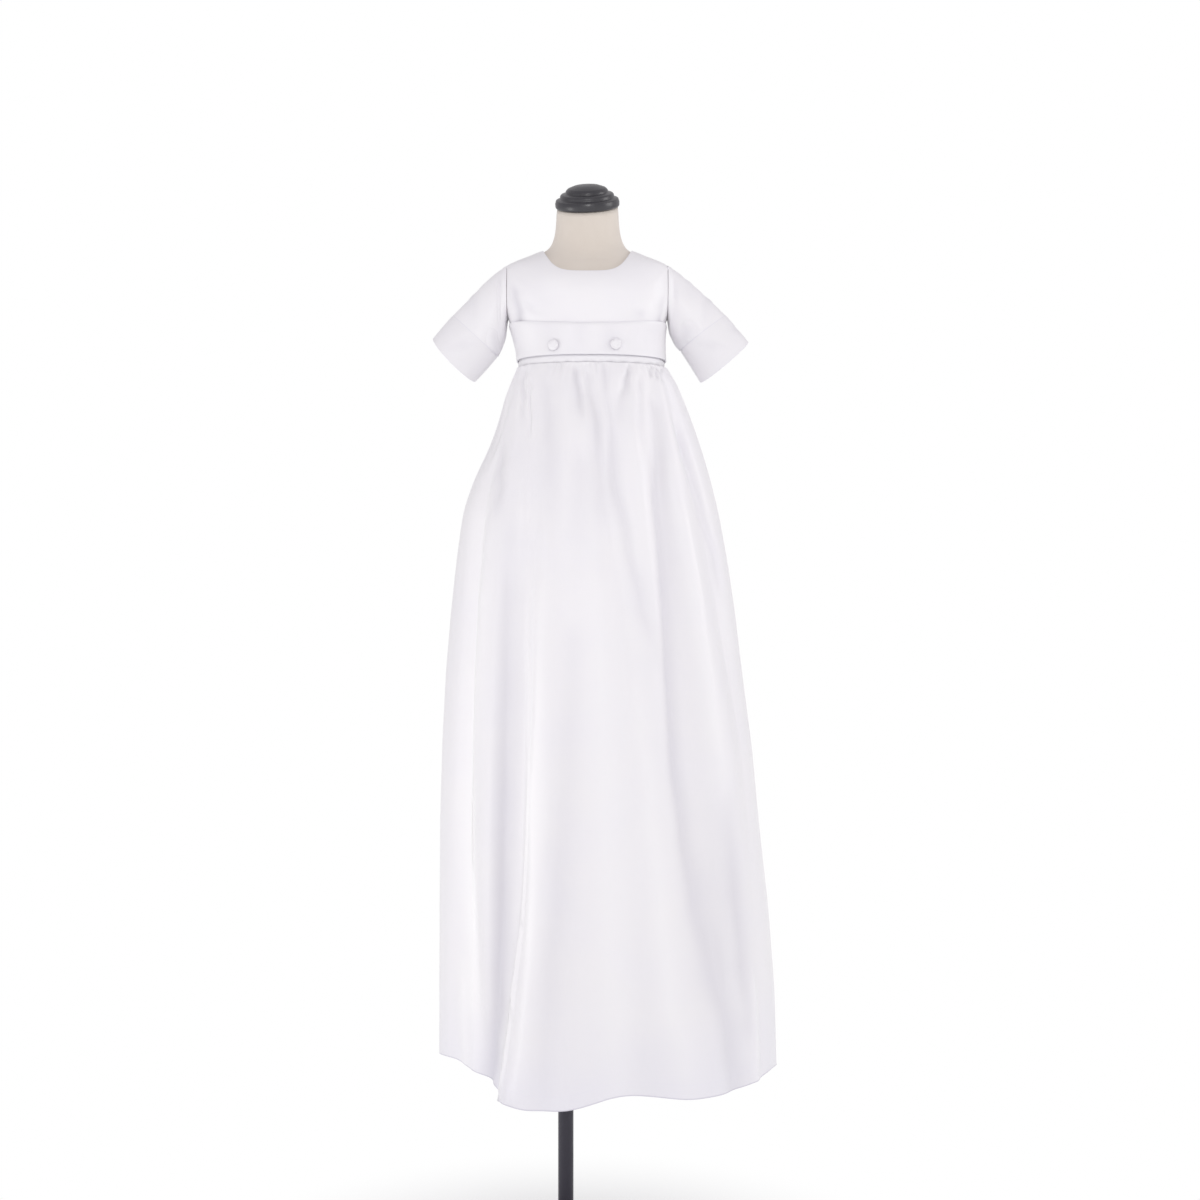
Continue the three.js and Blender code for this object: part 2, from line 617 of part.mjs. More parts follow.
// A tube through rows of outer points. Each row's inner points lie one wall inwards, and a row that
// meets a seam in an upright plane keeps its inner points in that plane.
function tube(rowsOfPoints, thick, flatFirstRow) {
  const last = rowsOfPoints.length - 1;
  const count = rowsOfPoints[0].length;
  const middles = rowsOfPoints.map((points) =>
    points.reduce((sum, q) => sum.add(q), new THREE.Vector3()).divideScalar(count),
  );
  return ring(count, last, (column, row, depth) => {
    const points = rowsOfPoints[row];
    const spot = points[column].clone();
    if (depth === 1) return spot;
    const around = points[(column + 1) % count].clone().sub(points[(column + count - 1) % count]);
    const [before, after] = [rowsOfPoints[Math.max(row - 1, 0)], rowsOfPoints[Math.min(row + 1, last)]];
    const along = after[column].clone().sub(before[column]);
    const facing = around.cross(along);
    if (flatFirstRow && row === 0) facing.x = 0;
    facing.normalize();
    if (facing.dot(spot.clone().sub(middles[row])) < 0) facing.negate();
    return spot.addScaledVector(facing, -thick);
  });
}

const sleeveTurns = [...Array(SLEEVE_COLUMNS).keys()].map((i) => (i / SLEEVE_COLUMNS) * 360 * DEGREE);

function sleeve(side, table) {
  const rows = [sleeveTurns.map((turn) => armholePoint(side, turn))];
  for (const row of table) rows.push(sleeveTurns.map((turn) => sectionPoint(side, row, turn, 0)));
  return tube(rows, CLOTH, true);
}

function cuff(side, table) {
  return tube(
    table.map((row) => sleeveTurns.map((turn) => sectionPoint(side, row, turn, CUFF_STEP))),
    CUFF_CLOTH,
    false,
  );
}

// Skirt.

function skirtSection(z) {
  const section = {};
  for (const column of ["left", "right", "front", "back", "middleY", "boxy"])
    section[column] = lookup(skirtRowsUpwards, "z", column, z);
  return section;
}

// Direction of a fold, in radians from the middle front, from its x in the table.
function foldAngle(x, section, onBack) {
  const across = x < 0 ? section.left : section.right;
  const share = clamp(Math.abs(x) / across, 0, 0.999);
  const angle = Math.sign(x) * Math.asin(share ** (section.boxy / 2));
  return onBack ? Math.sign(angle || 1) * Math.PI - angle : angle;
}

const folds = [
  ...FRONT_FOLDS.map((fold) => ({ rows: foldRows(fold), lean: fold.lean, onBack: false })),
  ...BACK_FOLDS.map((fold) => ({ rows: foldRows(fold), lean: fold.lean, onBack: true })),
];

// How far all folds together move the skirt out at a direction and height.
function foldsAt(angle, z, section) {
  let out = 0;
  const radius = (section.left + section.right + section.front + section.back) / 4;
  for (const fold of folds) {
    const depth = lookup(fold.rows, "z", "out", z);
    if (depth === 0) continue;
    const centre = foldAngle(lookup(fold.rows, "z", "x", z), section, fold.onBack);
    const wide = lookup(fold.rows, "z", "wide", z);
    const turn = Math.atan2(Math.sin(angle - centre), Math.cos(angle - centre));
    const away = ((turn * radius) / wide) * (1 + fold.lean * Math.sign(turn));
    out += depth * Math.exp(-(Math.abs(away) ** FOLD_SHARPNESS));
  }
  const drop = SKIRT_TOP - z;
  const fade = clamp(1 - drop / GATHER_LENGTH, 0, 1);
  const { share, times, shift } = GATHER_UNEVENNESS;
  const unevenness = 1 + share * Math.sin(times * angle + shift);
  const wave = (1 + Math.cos(GATHERS * angle)) / 2;
  return out * clamp(drop / FOLD_START, 0, 1) + GATHER_DEPTH * fade * unevenness * wave;
}

// A point of the skirt's outer face.
function skirtPoint(angle, z) {
  const section = skirtSection(z);
  const across = Math.sin(angle) < 0 ? section.left : section.right;
  const deep = Math.cos(angle) < 0 ? section.back : section.front;
  const x = across * power(Math.sin(angle), 2 / section.boxy);
  const y = -deep * power(Math.cos(angle), 2 / section.boxy);
  const facing = new THREE.Vector2(x / across ** 2, y / deep ** 2).normalize();
  const out = foldsAt(angle, z, section);
  return new THREE.Vector3(x + facing.x * out, section.middleY + y + facing.y * out, z);
}

function skirtFacing(angle, z) {
  const around = skirtPoint(angle + SLOPE_TURN, z).sub(skirtPoint(angle - SLOPE_TURN, z));
  const upwards = skirtPoint(angle, z + SLOPE_STEP).sub(skirtPoint(angle, z - SLOPE_STEP));
  return around.cross(upwards).normalize();
}

function skirtPanel(columns, middleAngle) {
  const rows = SKIRT_ROWS.length - 1;
  return panel(columns, rows, (column, row, depth) => {
    const u = (2 * column) / columns - 1;
    const angle = (middleAngle + 90 * u) * DEGREE;
    const degrees = Math.atan2(Math.sin(angle), Math.cos(angle)) / DEGREE;
    const hem = lookup(HEM_HEIGHTS, "angle", "z", degrees);
    const z = mix(SKIRT_TOP, hem, SKIRT_ROWS[row]);
    const spot = skirtPoint(angle, z);
    const facing = skirtFacing(angle, z);
    const sideways = new THREE.Vector3(-facing.y, facing.x, 0).normalize();
    spot.addScaledVector(facing, (depth - 1) * CLOTH);
    if (Math.abs(u) === 1) spot.addScaledVector(sideways, -u * (SEAM_GAP / 2));
    return spot;
  });
}

// Form, cap and stand.

// How much higher the slanted neck lies at a place than at its middle, as slopes along x and y.
const neckSlope = new THREE.Vector2(
  Math.tan(NECK_SLANT.sideways * DEGREE),
  Math.tan(NECK_SLANT.forward * DEGREE),
);

// The form as one closed body: sections stacked on a turned blank, level up to the slanted neck.
function formBody() {
  const outline = [
    new THREE.Vector2(0, 0),
    ...FORM_SECTIONS.map((row, i) => new THREE.Vector2(1, i)),
    new THREE.Vector2(0, FORM_SECTIONS.length - 1),
  ];
  const blank = new THREE.LatheGeometry(outline, FORM_COLUMNS);
  const p = blank.attributes.position;
  const top = FORM_SECTIONS[FORM_SECTIONS.length - 1].z;
  for (let i = 0; i < p.count; i += 1) {
    const row = FORM_SECTIONS[Math.round(p.getY(i))];
    if (Math.hypot(p.getX(i), p.getZ(i)) < 0.5) {
      p.setXYZ(i, FORM_X, 0, row.z);
      continue;
    }
    const column = Math.floor(i / outline.length);
    const angle = (column / FORM_COLUMNS) * 360 * DEGREE;
    const exponent = 2 / row.boxy;
    const deep = Math.cos(angle) < 0 ? row.back : row.front;
    const x = clamp(row.side * power(Math.sin(angle), exponent), -ARM_PLATE_X, ARM_PLATE_X);
    const y = -deep * power(Math.cos(angle), exponent);
    const slant = clamp((row.z - NECK_SLANT.start) / (top - NECK_SLANT.start), 0, 1);
    p.setXYZ(i, x + FORM_X, y, row.z + slant * (neckSlope.x * x + neckSlope.y * y));
  }
  return facingOut(blank);
}

function turnedUpright(rows, x, z, segments) {
  const outline = [new THREE.Vector2(0, rows[0].up)];
  for (const row of rows) outline.push(new THREE.Vector2(row.radius, row.up));
  outline.push(new THREE.Vector2(0, rows[rows.length - 1].up));
  const solid = new THREE.LatheGeometry(outline, segments);
  solid.rotateX(90 * DEGREE);
  solid.translate(x, 0, z);
  return facingOut(solid);
}

function neckCap() {
  const cap = turnedUpright(CAP_OUTLINE, 0, 0, ROUND_COLUMNS.cap);
  const upwards = new THREE.Vector3(-neckSlope.x, -neckSlope.y, 1).normalize();
  cap.applyQuaternion(new THREE.Quaternion().setFromUnitVectors(new THREE.Vector3(0, 0, 1), upwards));
  cap.translate(FORM_X, 0, CAP_BOTTOM);
  return cap;
}

function standBase() {
  const rows = [
    { radius: BASE_RADIUS - BASE_BEVEL, up: 0 },
    { radius: BASE_RADIUS, up: BASE_BEVEL },
    { radius: BASE_RADIUS, up: BASE_EDGE_HEIGHT - BASE_BEVEL },
    { radius: BASE_RADIUS - BASE_BEVEL, up: BASE_EDGE_HEIGHT },
    { radius: BASE_CROWN_RADIUS, up: BASE_CROWN_HEIGHT },
  ];
  return turnedUpright(rows, 0, 0, ROUND_COLUMNS.base);
}

function standPole() {
  const bottom = BASE_CROWN_HEIGHT + SEAM_GAP;
  const top = FORM_SECTIONS[0].z - SEAM_GAP;
  const rod = new THREE.CylinderGeometry(POLE_RADIUS, POLE_RADIUS, top - bottom, ROUND_COLUMNS.pole);
  rod.rotateX(90 * DEGREE);
  rod.translate(0, 0, (bottom + top) / 2);
  return facingOut(rod);
}

function standCollar() {
  const bore = POLE_RADIUS + SEAM_GAP;
  const [bottom, top] = [COLLAR_OUTLINE[0].up, COLLAR_OUTLINE[COLLAR_OUTLINE.length - 1].up];
  const outline = [
    { radius: bore, up: bottom },
    ...COLLAR_OUTLINE,
    { radius: bore, up: top },
    { radius: bore, up: bottom },
  ].map(({ radius, up }) => new THREE.Vector2(radius, up));
  const solid = new THREE.LatheGeometry(outline, ROUND_COLUMNS.collar);
  solid.rotateX(90 * DEGREE);
  solid.translate(0, 0, BASE_CROWN_HEIGHT + SEAM_GAP);
  return facingOut(solid);
}

// The whole object.

const SATIN = { color: 0xefedf0, roughness: 0.42, metalness: 0 };
const JERSEY = { color: 0xe3dcd3, roughness: 0.85, metalness: 0 };
const BLACK_WOOD = { color: 0x1b1a1e, roughness: 0.35, metalness: 0 };
const DARK_STEEL = { color: 0x34323a, roughness: 0.38, metalness: 0.6 };

const pieces = [
  ["form_body", formBody(), JERSEY],
  ["neck_cap", neckCap(), BLACK_WOOD],
  ["stand_base", standBase(), DARK_STEEL],
  ["stand_collar", standCollar(), DARK_STEEL],
  ["stand_pole", standPole(), DARK_STEEL],
  ["bodice_front", bodicePanel(false), SATIN],
  ["bodice_back", bodicePanel(true), SATIN],
  ["sleeve_right", sleeve(-1, RIGHT_SLEEVE), SATIN],
  ["sleeve_left", sleeve(1, LEFT_SLEEVE), SATIN],
  ["cuff_right", cuff(-1, RIGHT_CUFF), SATIN],
  ["cuff_left", cuff(1, LEFT_CUFF), SATIN],
  ["belt", band(BELT_BOTTOM, beltTop, BELT_OUT, BELT_CLOTH, BELT_ROWS), SATIN],
  ["waist_strip", band(STRIP_BOTTOM, () => STRIP_TOP, 0, STRIP_CLOTH, 1), SATIN],
  ["skirt_front", skirtPanel(FRONT_COLUMNS, 0), SATIN],
  ["skirt_back", skirtPanel(BACK_COLUMNS, 180), SATIN],
];
for (const spot of BUTTONS) pieces.push([spot.name, button(spot.x, spot.z), SATIN]);

const gown = new THREE.Group();
gown.name = "christening_gown_on_form";
for (const [name, geometry, look] of pieces) {
  const mesh = new THREE.Mesh(geometry, new THREE.MeshStandardMaterial(look));
  mesh.name = name;
  gown.add(mesh);
}

export default gown;
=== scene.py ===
"""A baby's christening gown in white satin, worn by a limbless dress form on a stand."""

import math

import bmesh
import bpy
import numpy as np
from mathutils import Matrix, Vector
from mathutils.bvhtree import BVHTree
from mathutils.kdtree import KDTree


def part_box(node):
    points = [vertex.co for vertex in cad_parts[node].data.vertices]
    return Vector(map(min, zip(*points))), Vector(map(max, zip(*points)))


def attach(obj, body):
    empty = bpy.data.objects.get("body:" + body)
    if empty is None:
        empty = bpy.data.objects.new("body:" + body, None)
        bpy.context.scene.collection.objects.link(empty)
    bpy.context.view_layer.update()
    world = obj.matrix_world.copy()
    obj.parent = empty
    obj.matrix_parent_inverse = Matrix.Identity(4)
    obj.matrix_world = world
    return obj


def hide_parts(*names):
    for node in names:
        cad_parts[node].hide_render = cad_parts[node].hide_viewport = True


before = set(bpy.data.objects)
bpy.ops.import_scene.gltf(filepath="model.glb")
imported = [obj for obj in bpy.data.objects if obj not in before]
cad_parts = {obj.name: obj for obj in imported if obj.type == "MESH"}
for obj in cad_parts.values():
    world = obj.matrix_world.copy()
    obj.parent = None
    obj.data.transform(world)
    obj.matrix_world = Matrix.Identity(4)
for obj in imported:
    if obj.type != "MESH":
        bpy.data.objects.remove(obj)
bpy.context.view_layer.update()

bl_info = {
    "name": "Christening Gown on a Dress Form",
    "version": (1, 0, 0),
    "blender": (4, 5, 0),
    "location": "3D View > Sidebar > Gown",
    "description": "Sews a white satin christening gown around its model and dresses a form with it",
    "category": "Object",
}

# Lengths are in metres, but for the tables of folds, which are in millimetres.
MM = 0.001
UP = Vector((0, 0, 1))
FORWARD = (0, -1, 0)
FORM_X = 0.026  # middle of the form, from the pole
NECK_TOP = 1.287
LEAN_TO_THE_RIGHT, LEAN_FORWARD = math.radians(2.5), math.radians(22)  # of the cut through the neck
SHOULDER_SEAM = (0.0957, 1.176)  # middle of an armhole: out from the form's middle, and its height
WELD = 2e-6  # points of the model that are closer than this are one
RIM_TURN = math.radians(62)  # how sharply a cloth wall turns at its rims
NARROW = 2.7 * MM  # and its rims are this narrow at most
SEAM_SEARCH = 1.6 * MM  # how far a sheet's edge looks for the piece that it is sewn to
SEAM_SHARE = 0.62  # how much of the way each of the two edges goes
SEAM_REACH = 1.2 * MM  # how far from its edge a sheet follows
FOLD_END = 12  # a fold fades over this length at its ends, or over as many degrees on a sleeve
FOLD_ROUNDNESS = 1.8  # 2 would be a bell curve, and less is sharper
HEM_BELOW = 0.3  # the skirt's edge is a hem below this height
HEM_WIDTH = 0.016
UNDER_A_BUTTON = 0.0078  # radius of the dent that a button presses into the belt


# Tables of folds.

# How far back the middle of the skirt lies at a height.
SKIRT_MIDDLE = ((1092, 0), (1036, 2), (934, 8), (816, 15), (655, 21), (456, 27), (250, 30))

# Soft troughs (out below 0) and ridges of the skirt: each row gives a height, the direction in
# degrees from the middle front towards the wearer's left, how far out and how wide.
SKIRT_FOLDS = {
    "pucker beside the right seam": ((1089, -61, 0, 2.6), (1080, -58, -1.4, 2.8), (1049, -51, -1.3, 3),
        (1012, -44.5, 0, 3.5)),
    "bright edge": ((1086, -57, 0, 2), (1074, -53.5, 1.1, 2.2), (1049, -47.9, 1, 2.2),
        (1012, -42.2, 0, 2.6)),
    "second pucker": ((1080, -52, 0, 2), (1060, -47, -0.9, 2), (1018, -41.3, -0.8, 2), (1000, -39, 0, 2.4)),
    "second bright edge": ((1072, -48.5, 0, 2), (1052, -44.6, 0.9, 2), (1016, -39.6, 0.8, 2),
        (998, -37.5, 0, 2.4)),
    "blue hollow": ((1088, -38, 0, 8), (1055, -31, -1.1, 9), (1025, -27, -1.5, 10), (978, -23, -1.1, 12),
        (930, -20, -0.5, 14), (880, -19, 0, 16)),
    "short gather": ((1091, -12.5, -0.4, 4), (1080, -10.5, -1.7, 4.5), (1049, -6.2, -1.9, 6),
        (1018, -3.4, 0, 7)),
    "long gather": ((1091, -1, -0.3, 4), (1072, 1.5, -1.2, 5), (1017, 7, -1.6, 6), (940, 8.6, -1, 9),
        (890, 9, 0, 10)),
    "gather at the belt button": ((1091, 16, -0.6, 3), (1078, 15.2, -1.1, 4), (1046, 14.5, -0.7, 6),
        (1024, 14, 0, 7)),
    "strong pucker": ((1092, 38.5, -0.8, 2.4), (1084, 36, -2, 2.8), (1071, 32.3, -1.7, 4),
        (1041, 24.4, -0.8, 6), (1010, 21, 0, 7)),
    "left soft gather": ((1086, 47, 0, 4), (1065, 42, -1.2, 5), (1012, 37, -1.1, 8), (960, 34.5, 0, 10)),
    "seam pucker one": ((1092, 58.5, -1, 1.7), (1082, 54.5, -1.1, 1.8), (1073, 51.9, 0, 2)),
    "seam pucker two": ((1092, 63.5, -1.1, 1.7), (1080, 58.5, -1.2, 1.9), (1069, 54.6, 0, 2)),
    "seam pucker three": ((1092, 68.8, -1, 1.7), (1079, 62.6, -1.1, 1.9), (1067, 58.8, 0, 2)),
    "hollow under the gathers": ((1010, -5, 0, 11), (968, -3, -0.9, 14), (920, -4, -0.9, 17),
        (860, -6, -0.4, 19), (810, -7, 0, 20)),
    "right hollow": ((1012, -64, 0, 8), (975, -57, -1.8, 10), (945, -52, -1.6, 10), (900, -50, 0, 12)),
    "long valley": ((1062, 47, 0, 5), (1040, 49.4, -1.2, 7), (918, 40.6, -1.9, 8), (816, 40.2, -2.4, 9),
        (725, 39.6, -3, 10), (634, 39.5, -3, 12), (554, 42.1, -2.8, 14), (474, 44.7, -2.6, 17),
        (394, 48.1, -2.6, 20), (311, 53.5, -2.4, 22), (250, 56, -2, 22)),
    "second valley": ((1060, 17, 0, 4), (1027, 17.1, -1.2, 5), (961, 16, -1.6, 6), (884, 20.9, -1.5, 7),
        (810, 25.8, -1.4, 8), (756, 30.9, -0.6, 10), (720, 34, 0, 10)),
    "light between the valleys": ((1030, 31, 0, 7), (1000, 32, 0.9, 8), (907, 31, 0.9, 8),
        (816, 33, 0.6, 6), (780, 34, 0, 6)),
    "left outer ridge": ((950, 50, 0, 8), (908, 51.4, 1, 8), (816, 53, 1.4, 9), (700, 54.7, 1.6, 10),
        (600, 56.5, 0.8, 11), (540, 58, 0, 12)),
    "lower left hollow": ((640, 57, 0, 14), (560, 58, -1.6, 16), (480, 59, -2.8, 18), (400, 61, -2.6, 18),
        (330, 63, -1.2, 16), (290, 64, 0, 14)),
    "left side trough": ((1040, 61, 0, 5), (997, 63.2, -1.8, 6), (920, 65.5, -1.8, 7), (863, 70, -1.4, 8),
        (800, 72, 0, 10)),
    "ridge line": ((880, -30, 0, 3), (816, -28.5, 0.7, 3), (703, -26, 1.1, 3), (590, -24.5, 1.4, 3),
        (478, -24.8, 1.8, 2.8), (365, -27.6, 2, 2.6), (308, -28.9, 2, 2.6), (250, -30, 1.9, 2.6)),
    "trough beside the ridge line": ((960, -42, 0, 9), (880, -40, -0.9, 11), (816, -38, -2, 12),
        (702, -36, -2.9, 14), (589, -35, -3.8, 15), (476, -35, -4.5, 15), (362, -37, -4.6, 15),
        (305, -40, -4.4, 16), (250, -43, -3.8, 16)),
    "flank": ((960, -60, 0, 10), (870, -57, 2.2, 13), (816, -55.5, 3.6, 14), (700, -55, 4.3, 15),
        (590, -55, 4.4, 15), (478, -54, 4.2, 16), (364, -53, 2.6, 16), (300, -52, 1.3, 14),
        (250, -52, 0.6, 12)),
    "panel beside the ridge line": ((860, -22, 0, 8), (816, -22, 1, 9), (703, -21, 2.4, 10),
        (590, -21.5, 3.4, 11), (478, -20, 3.2, 11), (366, -21, 1.4, 10), (299, -22, 0.5, 9),
        (250, -22, 0, 9)),
    "middle valley": ((800, -6.4, 0, 14), (760, -6.6, -0.8, 15), (636, -7.7, -1.2, 16),
        (502, -9.6, -1.5, 17), (390, -11.5, -1.6, 18), (301, -12.7, -1.2, 18), (250, -13, -0.8, 18)),
    "middle ridge": ((860, 6, 0, 14), (816, 6.2, 0.7, 15), (703, 7.9, 1.1, 17), (591, 8.6, 1.3, 18),
        (480, 9, 1.3, 19), (369, 9.4, 1.1, 20), (280, 10.3, 0.6, 20), (250, 10.5, 0.4, 20)),
    "lower ridge": ((740, 21, 0, 9), (703, 22.9, 0.8, 10), (590, 26.3, 1.3, 11), (478, 29, 1.5, 12),
        (365, 31.5, 1.4, 14), (297, 35.8, 1, 15), (250, 37, 0.6, 15)),
    "left hem edge": ((400, 66, 0, 6), (350, 67, 1.3, 6), (290, 66.3, 1.6, 6), (255, 66, 1.2, 7)),
    "right hem roll": ((420, -60, 0, 9), (350, -59.4, 1.4, 9), (275, -58, 1.8, 10)),
    # the sides and the back, which the front's folds are carried on to
    "right side gather": ((1091, -84, -1.2, 4), (1060, -83, -1.8, 6), (1000, -80, -1.1, 9),
        (950, -79, 0, 12)),
    "right back gather": ((1091, -103, -1.1, 4), (1052, -105, -1.7, 6), (985, -108, -1.2, 10),
        (900, -110, 0, 14)),
    "right back bright edge": ((1080, -98, 0, 3), (1050, -98.5, 1.1, 3.4), (1002, -100, 0.8, 5),
        (960, -101, 0, 7)),
    "back pucker one": ((1092, -121, -0.9, 2.6), (1071, -123, -1.6, 3.6), (1030, -126, 0, 6)),
    "back pucker two": ((1092, -134, -1, 3), (1062, -137, -1.7, 5), (1000, -140, -1.1, 8),
        (930, -142, 0, 12)),
    "back pucker three": ((1092, -151, -0.8, 2.6), (1078, -152, -1.3, 3.2), (1045, -154, 0, 5)),
    "back middle gather": ((1092, -166, -1.1, 3.4), (1055, -168, -1.8, 6), (975, -171, -1.2, 10),
        (880, -172, 0, 14)),
    "back pucker four": ((1092, 176, -0.9, 2.8), (1070, 174, -1.5, 3.8), (1026, 171, 0, 6)),
    "back pucker five": ((1092, 159, -1.1, 3), (1060, 157, -1.8, 5), (995, 154, -1.2, 8),
        (925, 152, 0, 12)),
    "back pucker six": ((1092, 143, -0.9, 2.6), (1074, 142, -1.4, 3.4), (1038, 140, 0, 5)),
    "left back gather": ((1091, 126, -1.2, 4), (1054, 127, -1.8, 6), (980, 128, -1.2, 10),
        (890, 129, 0, 14)),
    "left back bright edge": ((1080, 112, 0, 3), (1048, 113, 1.1, 3.6), (1000, 114, 0.8, 5),
        (955, 115, 0, 7)),
    "left side gather": ((1091, 96, -1.2, 4), (1058, 98, -1.7, 6), (1000, 99, -1.1, 9), (940, 100, 0, 12)),
    "long back roll": ((860, -128, 0, 14), (640, -127, -1.9, 17), (430, -126, -2.2, 19),
        (262, -125, -1.4, 20)),
    "long back crease": ((900, 164, 0, 10), (680, 165, -1.7, 13), (460, 166, -2.2, 16),
        (262, 167, -1.6, 18)),
    "long back ridge": ((760, 134, 0, 14), (560, 135, 1.7, 18), (380, 136, 2, 20), (262, 137, 1.2, 20)),
    "right side roll": ((820, -92, 0, 12), (600, -91, -1.6, 15), (400, -90, -2, 17), (262, -89, -1.2, 18)),
}

# Soft dents of the bodice: each row gives a height, the place across the front (minus on the
# wearer's right), how far out and how wide. The back has its own.
BODICE_FRONT_FOLDS = {
    "hollow at the right armhole": ((1193, -90, 0, 6), (1176, -86, -1.8, 7), (1152, -82, -2.6, 9),
        (1128, -78, -1, 9)),
    "hollow at the left armhole": ((1180, 91, 0, 5), (1160, 88, -1.1, 6), (1144, 86, -1.6, 7),
        (1128, 83, -0.5, 8)),
    "left dimple": ((1160, 63, 0, 8), (1150, 62.7, -1.1, 9), (1139, 61, 0, 9)),
    "fold from the right armhole": ((1172, -74, 0, 6), (1158, -66, -0.7, 7), (1144, -56, 0, 8)),
    "fold from the left armhole": ((1170, 76, 0, 6), (1156, 72, 0.6, 6), (1140, 68, 0, 8)),
    "right chest": ((1208, -48, 0, 16), (1188, -40, 0.5, 18), (1160, -34, 0, 18)),
}
BODICE_BACK_FOLDS = {
    "hollow at the right armhole": ((1190, -89, 0, 6), (1172, -86, -1.2, 7), (1150, -84, -1.4, 8),
        (1130, -80, -0.5, 8)),
    "hollow at the left armhole": ((1188, 90, 0, 6), (1168, 87, -1.3, 7), (1150, 85, -1.5, 8),
        (1130, 81, -0.5, 8)),
    "back middle dent": ((1195, -6, 0, 12), (1172, -3, -0.9, 15), (1150, 0, 0, 15)),
    "left shoulder blade": ((1205, 44, 0, 14), (1186, 42, 0.5, 17), (1160, 38, 0, 18)),
}

# Soft folds across the sleeves and cuffs: each row gives the way round in degrees (0 on top, 90 in
# front), the distance from the armhole seam, how far out and how wide.
SEAM_RIDGE = ((-180, 3.2, 0.8, 1.9), (0, 3.2, 0.5, 1.9), (90, 3.4, 0.9, 1.9), (180, 3.2, 0.8, 1.9))
RIGHT_SLEEVE_FOLDS = {
    "seam ridge": SEAM_RIDGE,
    "trough by the seam": ((28, 9, 0, 2.4), (60, 8.8, -1.1, 2.4), (105, 8.6, -1, 2.4), (140, 8, 0, 2.4)),
    "underarm fold": ((96, 22, 0, 5), (135, 17, -1.7, 6), (180, 14, -1.9, 6)),
    "top fold": ((-30, 44, -0.3, 6), (5, 42, -1.1, 6), (60, 38, -0.7, 7), (110, 34, 0, 8)),
    "puff over the cuff": ((60, 49, 0, 4), (110, 44, 1.2, 4.5), (165, 30, 1.1, 4.5), (180, 27, 0.8, 4)),
    "back fold": ((-150, 18, -1.5, 6), (-110, 24, -1.4, 6), (-60, 36, -0.8, 7), (-30, 44, 0, 7)),
}
LEFT_SLEEVE_FOLDS = {
    "seam ridge": SEAM_RIDGE,
    "trough by the seam": ((30, 8.4, 0, 2.2), (70, 8.2, -0.7, 2.2), (110, 8, 0, 2.2)),
    "underarm fold": ((80, 32, 0, 6), (118, 24, -1.9, 7), (150, 17, -2.1, 7), (180, 14, -1.8, 6)),
    "upper top fold": ((-40, 27, 0, 5), (0, 26, -1.2, 5), (40, 24, -0.4, 6), (70, 23, 0, 7)),
    "lower top fold": ((-50, 51, 0, 5), (0, 50, -1.3, 5), (60, 45, -0.8, 6), (100, 40, 0, 7)),
    "front fold": ((62, 60, 0, 6), (90, 50, -1.1, 7), (120, 41, -1.2, 7), (150, 33, 0, 7)),
    "back fold": ((-140, 20, -1.5, 6), (-100, 28, -1.5, 7), (-60, 38, 0, 7)),
}
RIGHT_CUFF_FOLDS = {
    "cuff hollow": ((50, 90, 0, 7), (85, 78, -1, 9), (130, 62, 0, 9)),
    "cuff back hollow": ((-130, 64, 0, 8), (-90, 76, -1.1, 9), (-40, 92, 0, 8)),
}
LEFT_CUFF_FOLDS = {
    "cuff hollow": ((60, 92, 0, 7), (95, 78, -1.2, 9), (140, 62, 0, 9)),
    "cuff top hollow": ((-20, 84, 0, 5), (10, 82, -0.9, 6), (50, 78, 0, 7)),
    "cuff back hollow": ((-140, 66, 0, 8), (-95, 80, -1.2, 9), (-50, 94, 0, 8)),
}

# How each piece of cloth is cut and held: its flat size, how it is held, what it rests on, and how high or deep
# a fold has to be to get the full painted highlight or painted shade.
SHEETS = {
    "bodice_front": ((0.245, 0.142), "hung", "form_cover", 0.0032),
    "bodice_back": ((0.245, 0.142), "hung", "form_cover", 0.0032),
    "sleeve_right": ((0.27, 0.105), "hung", "bodice_front_cloth", 0.005),
    "sleeve_left": ((0.27, 0.105), "hung", "bodice_front_cloth", 0.005),
    "cuff_right": ((0.205, 0.045), "folded", "sleeve_right_cloth", 0.005),
    "cuff_left": ((0.205, 0.045), "folded", "sleeve_left_cloth", 0.005),
    "belt": ((0.535, 0.046), "folded", "bodice_front_cloth", 0.004),
    "waist_strip": ((0.495, 0.0112), "folded", "bodice_front_cloth", 0.004),
    "skirt_front": ((0.65, 0.86), "gathered", "waist_strip_cloth", 0.0095),
    "skirt_back": ((0.6, 0.86), "gathered", "waist_strip_cloth", 0.0095),
}

# Each satin: the colour it takes, the width of the line of painted shade along its edge, and the strength of
# its hem's shade: the hem line, the cooler band towards the hem and a darker painted edge.
SATINS = {
    "white satin": ("satin", 0.0007, 0.0),
    "hemmed satin": ("satin", 0.0018, 0.12),
    "doubled satin": ("folded_satin", 0.0007, 0.0),
}

# Each hard finish: the colour it takes, how much lighter its grain is, how rough, metallic and coated.
HARD_FINISHES = {
    "black lacquered wood": ("lacquer", 1.7, 0.36, 0.0, 0.3),
    "dark coated steel": ("steel", 1.25, 0.42, 0.35, 0.0),
}

# A covered button from the middle of its back over the edge: share of its radius, and height.
BUTTON_OUTLINE = (
    (0, 0), (0.55, 0), (0.8, 0.0002), (0.93, 0.0007), (1, 0.0014), (0.985, 0.0021), (0.9, 0.0029),
    (0.74, 0.0035), (0.5, 0.0039), (0.25, 0.0041), (0, 0.0042),
)
BUTTON_RIM_SHADE = 0.0022  # below this height over its seat the button's cloth is turned under, and the satin is darkened there as painted shade


# What a user may change.


def amount(name, description, value, unit="NONE", **limits):
    return bpy.props.FloatProperty(name=name, description=description, default=value, unit=unit, **limits)


def length(name, description, value):
    return amount(name, description, value, "LENGTH")


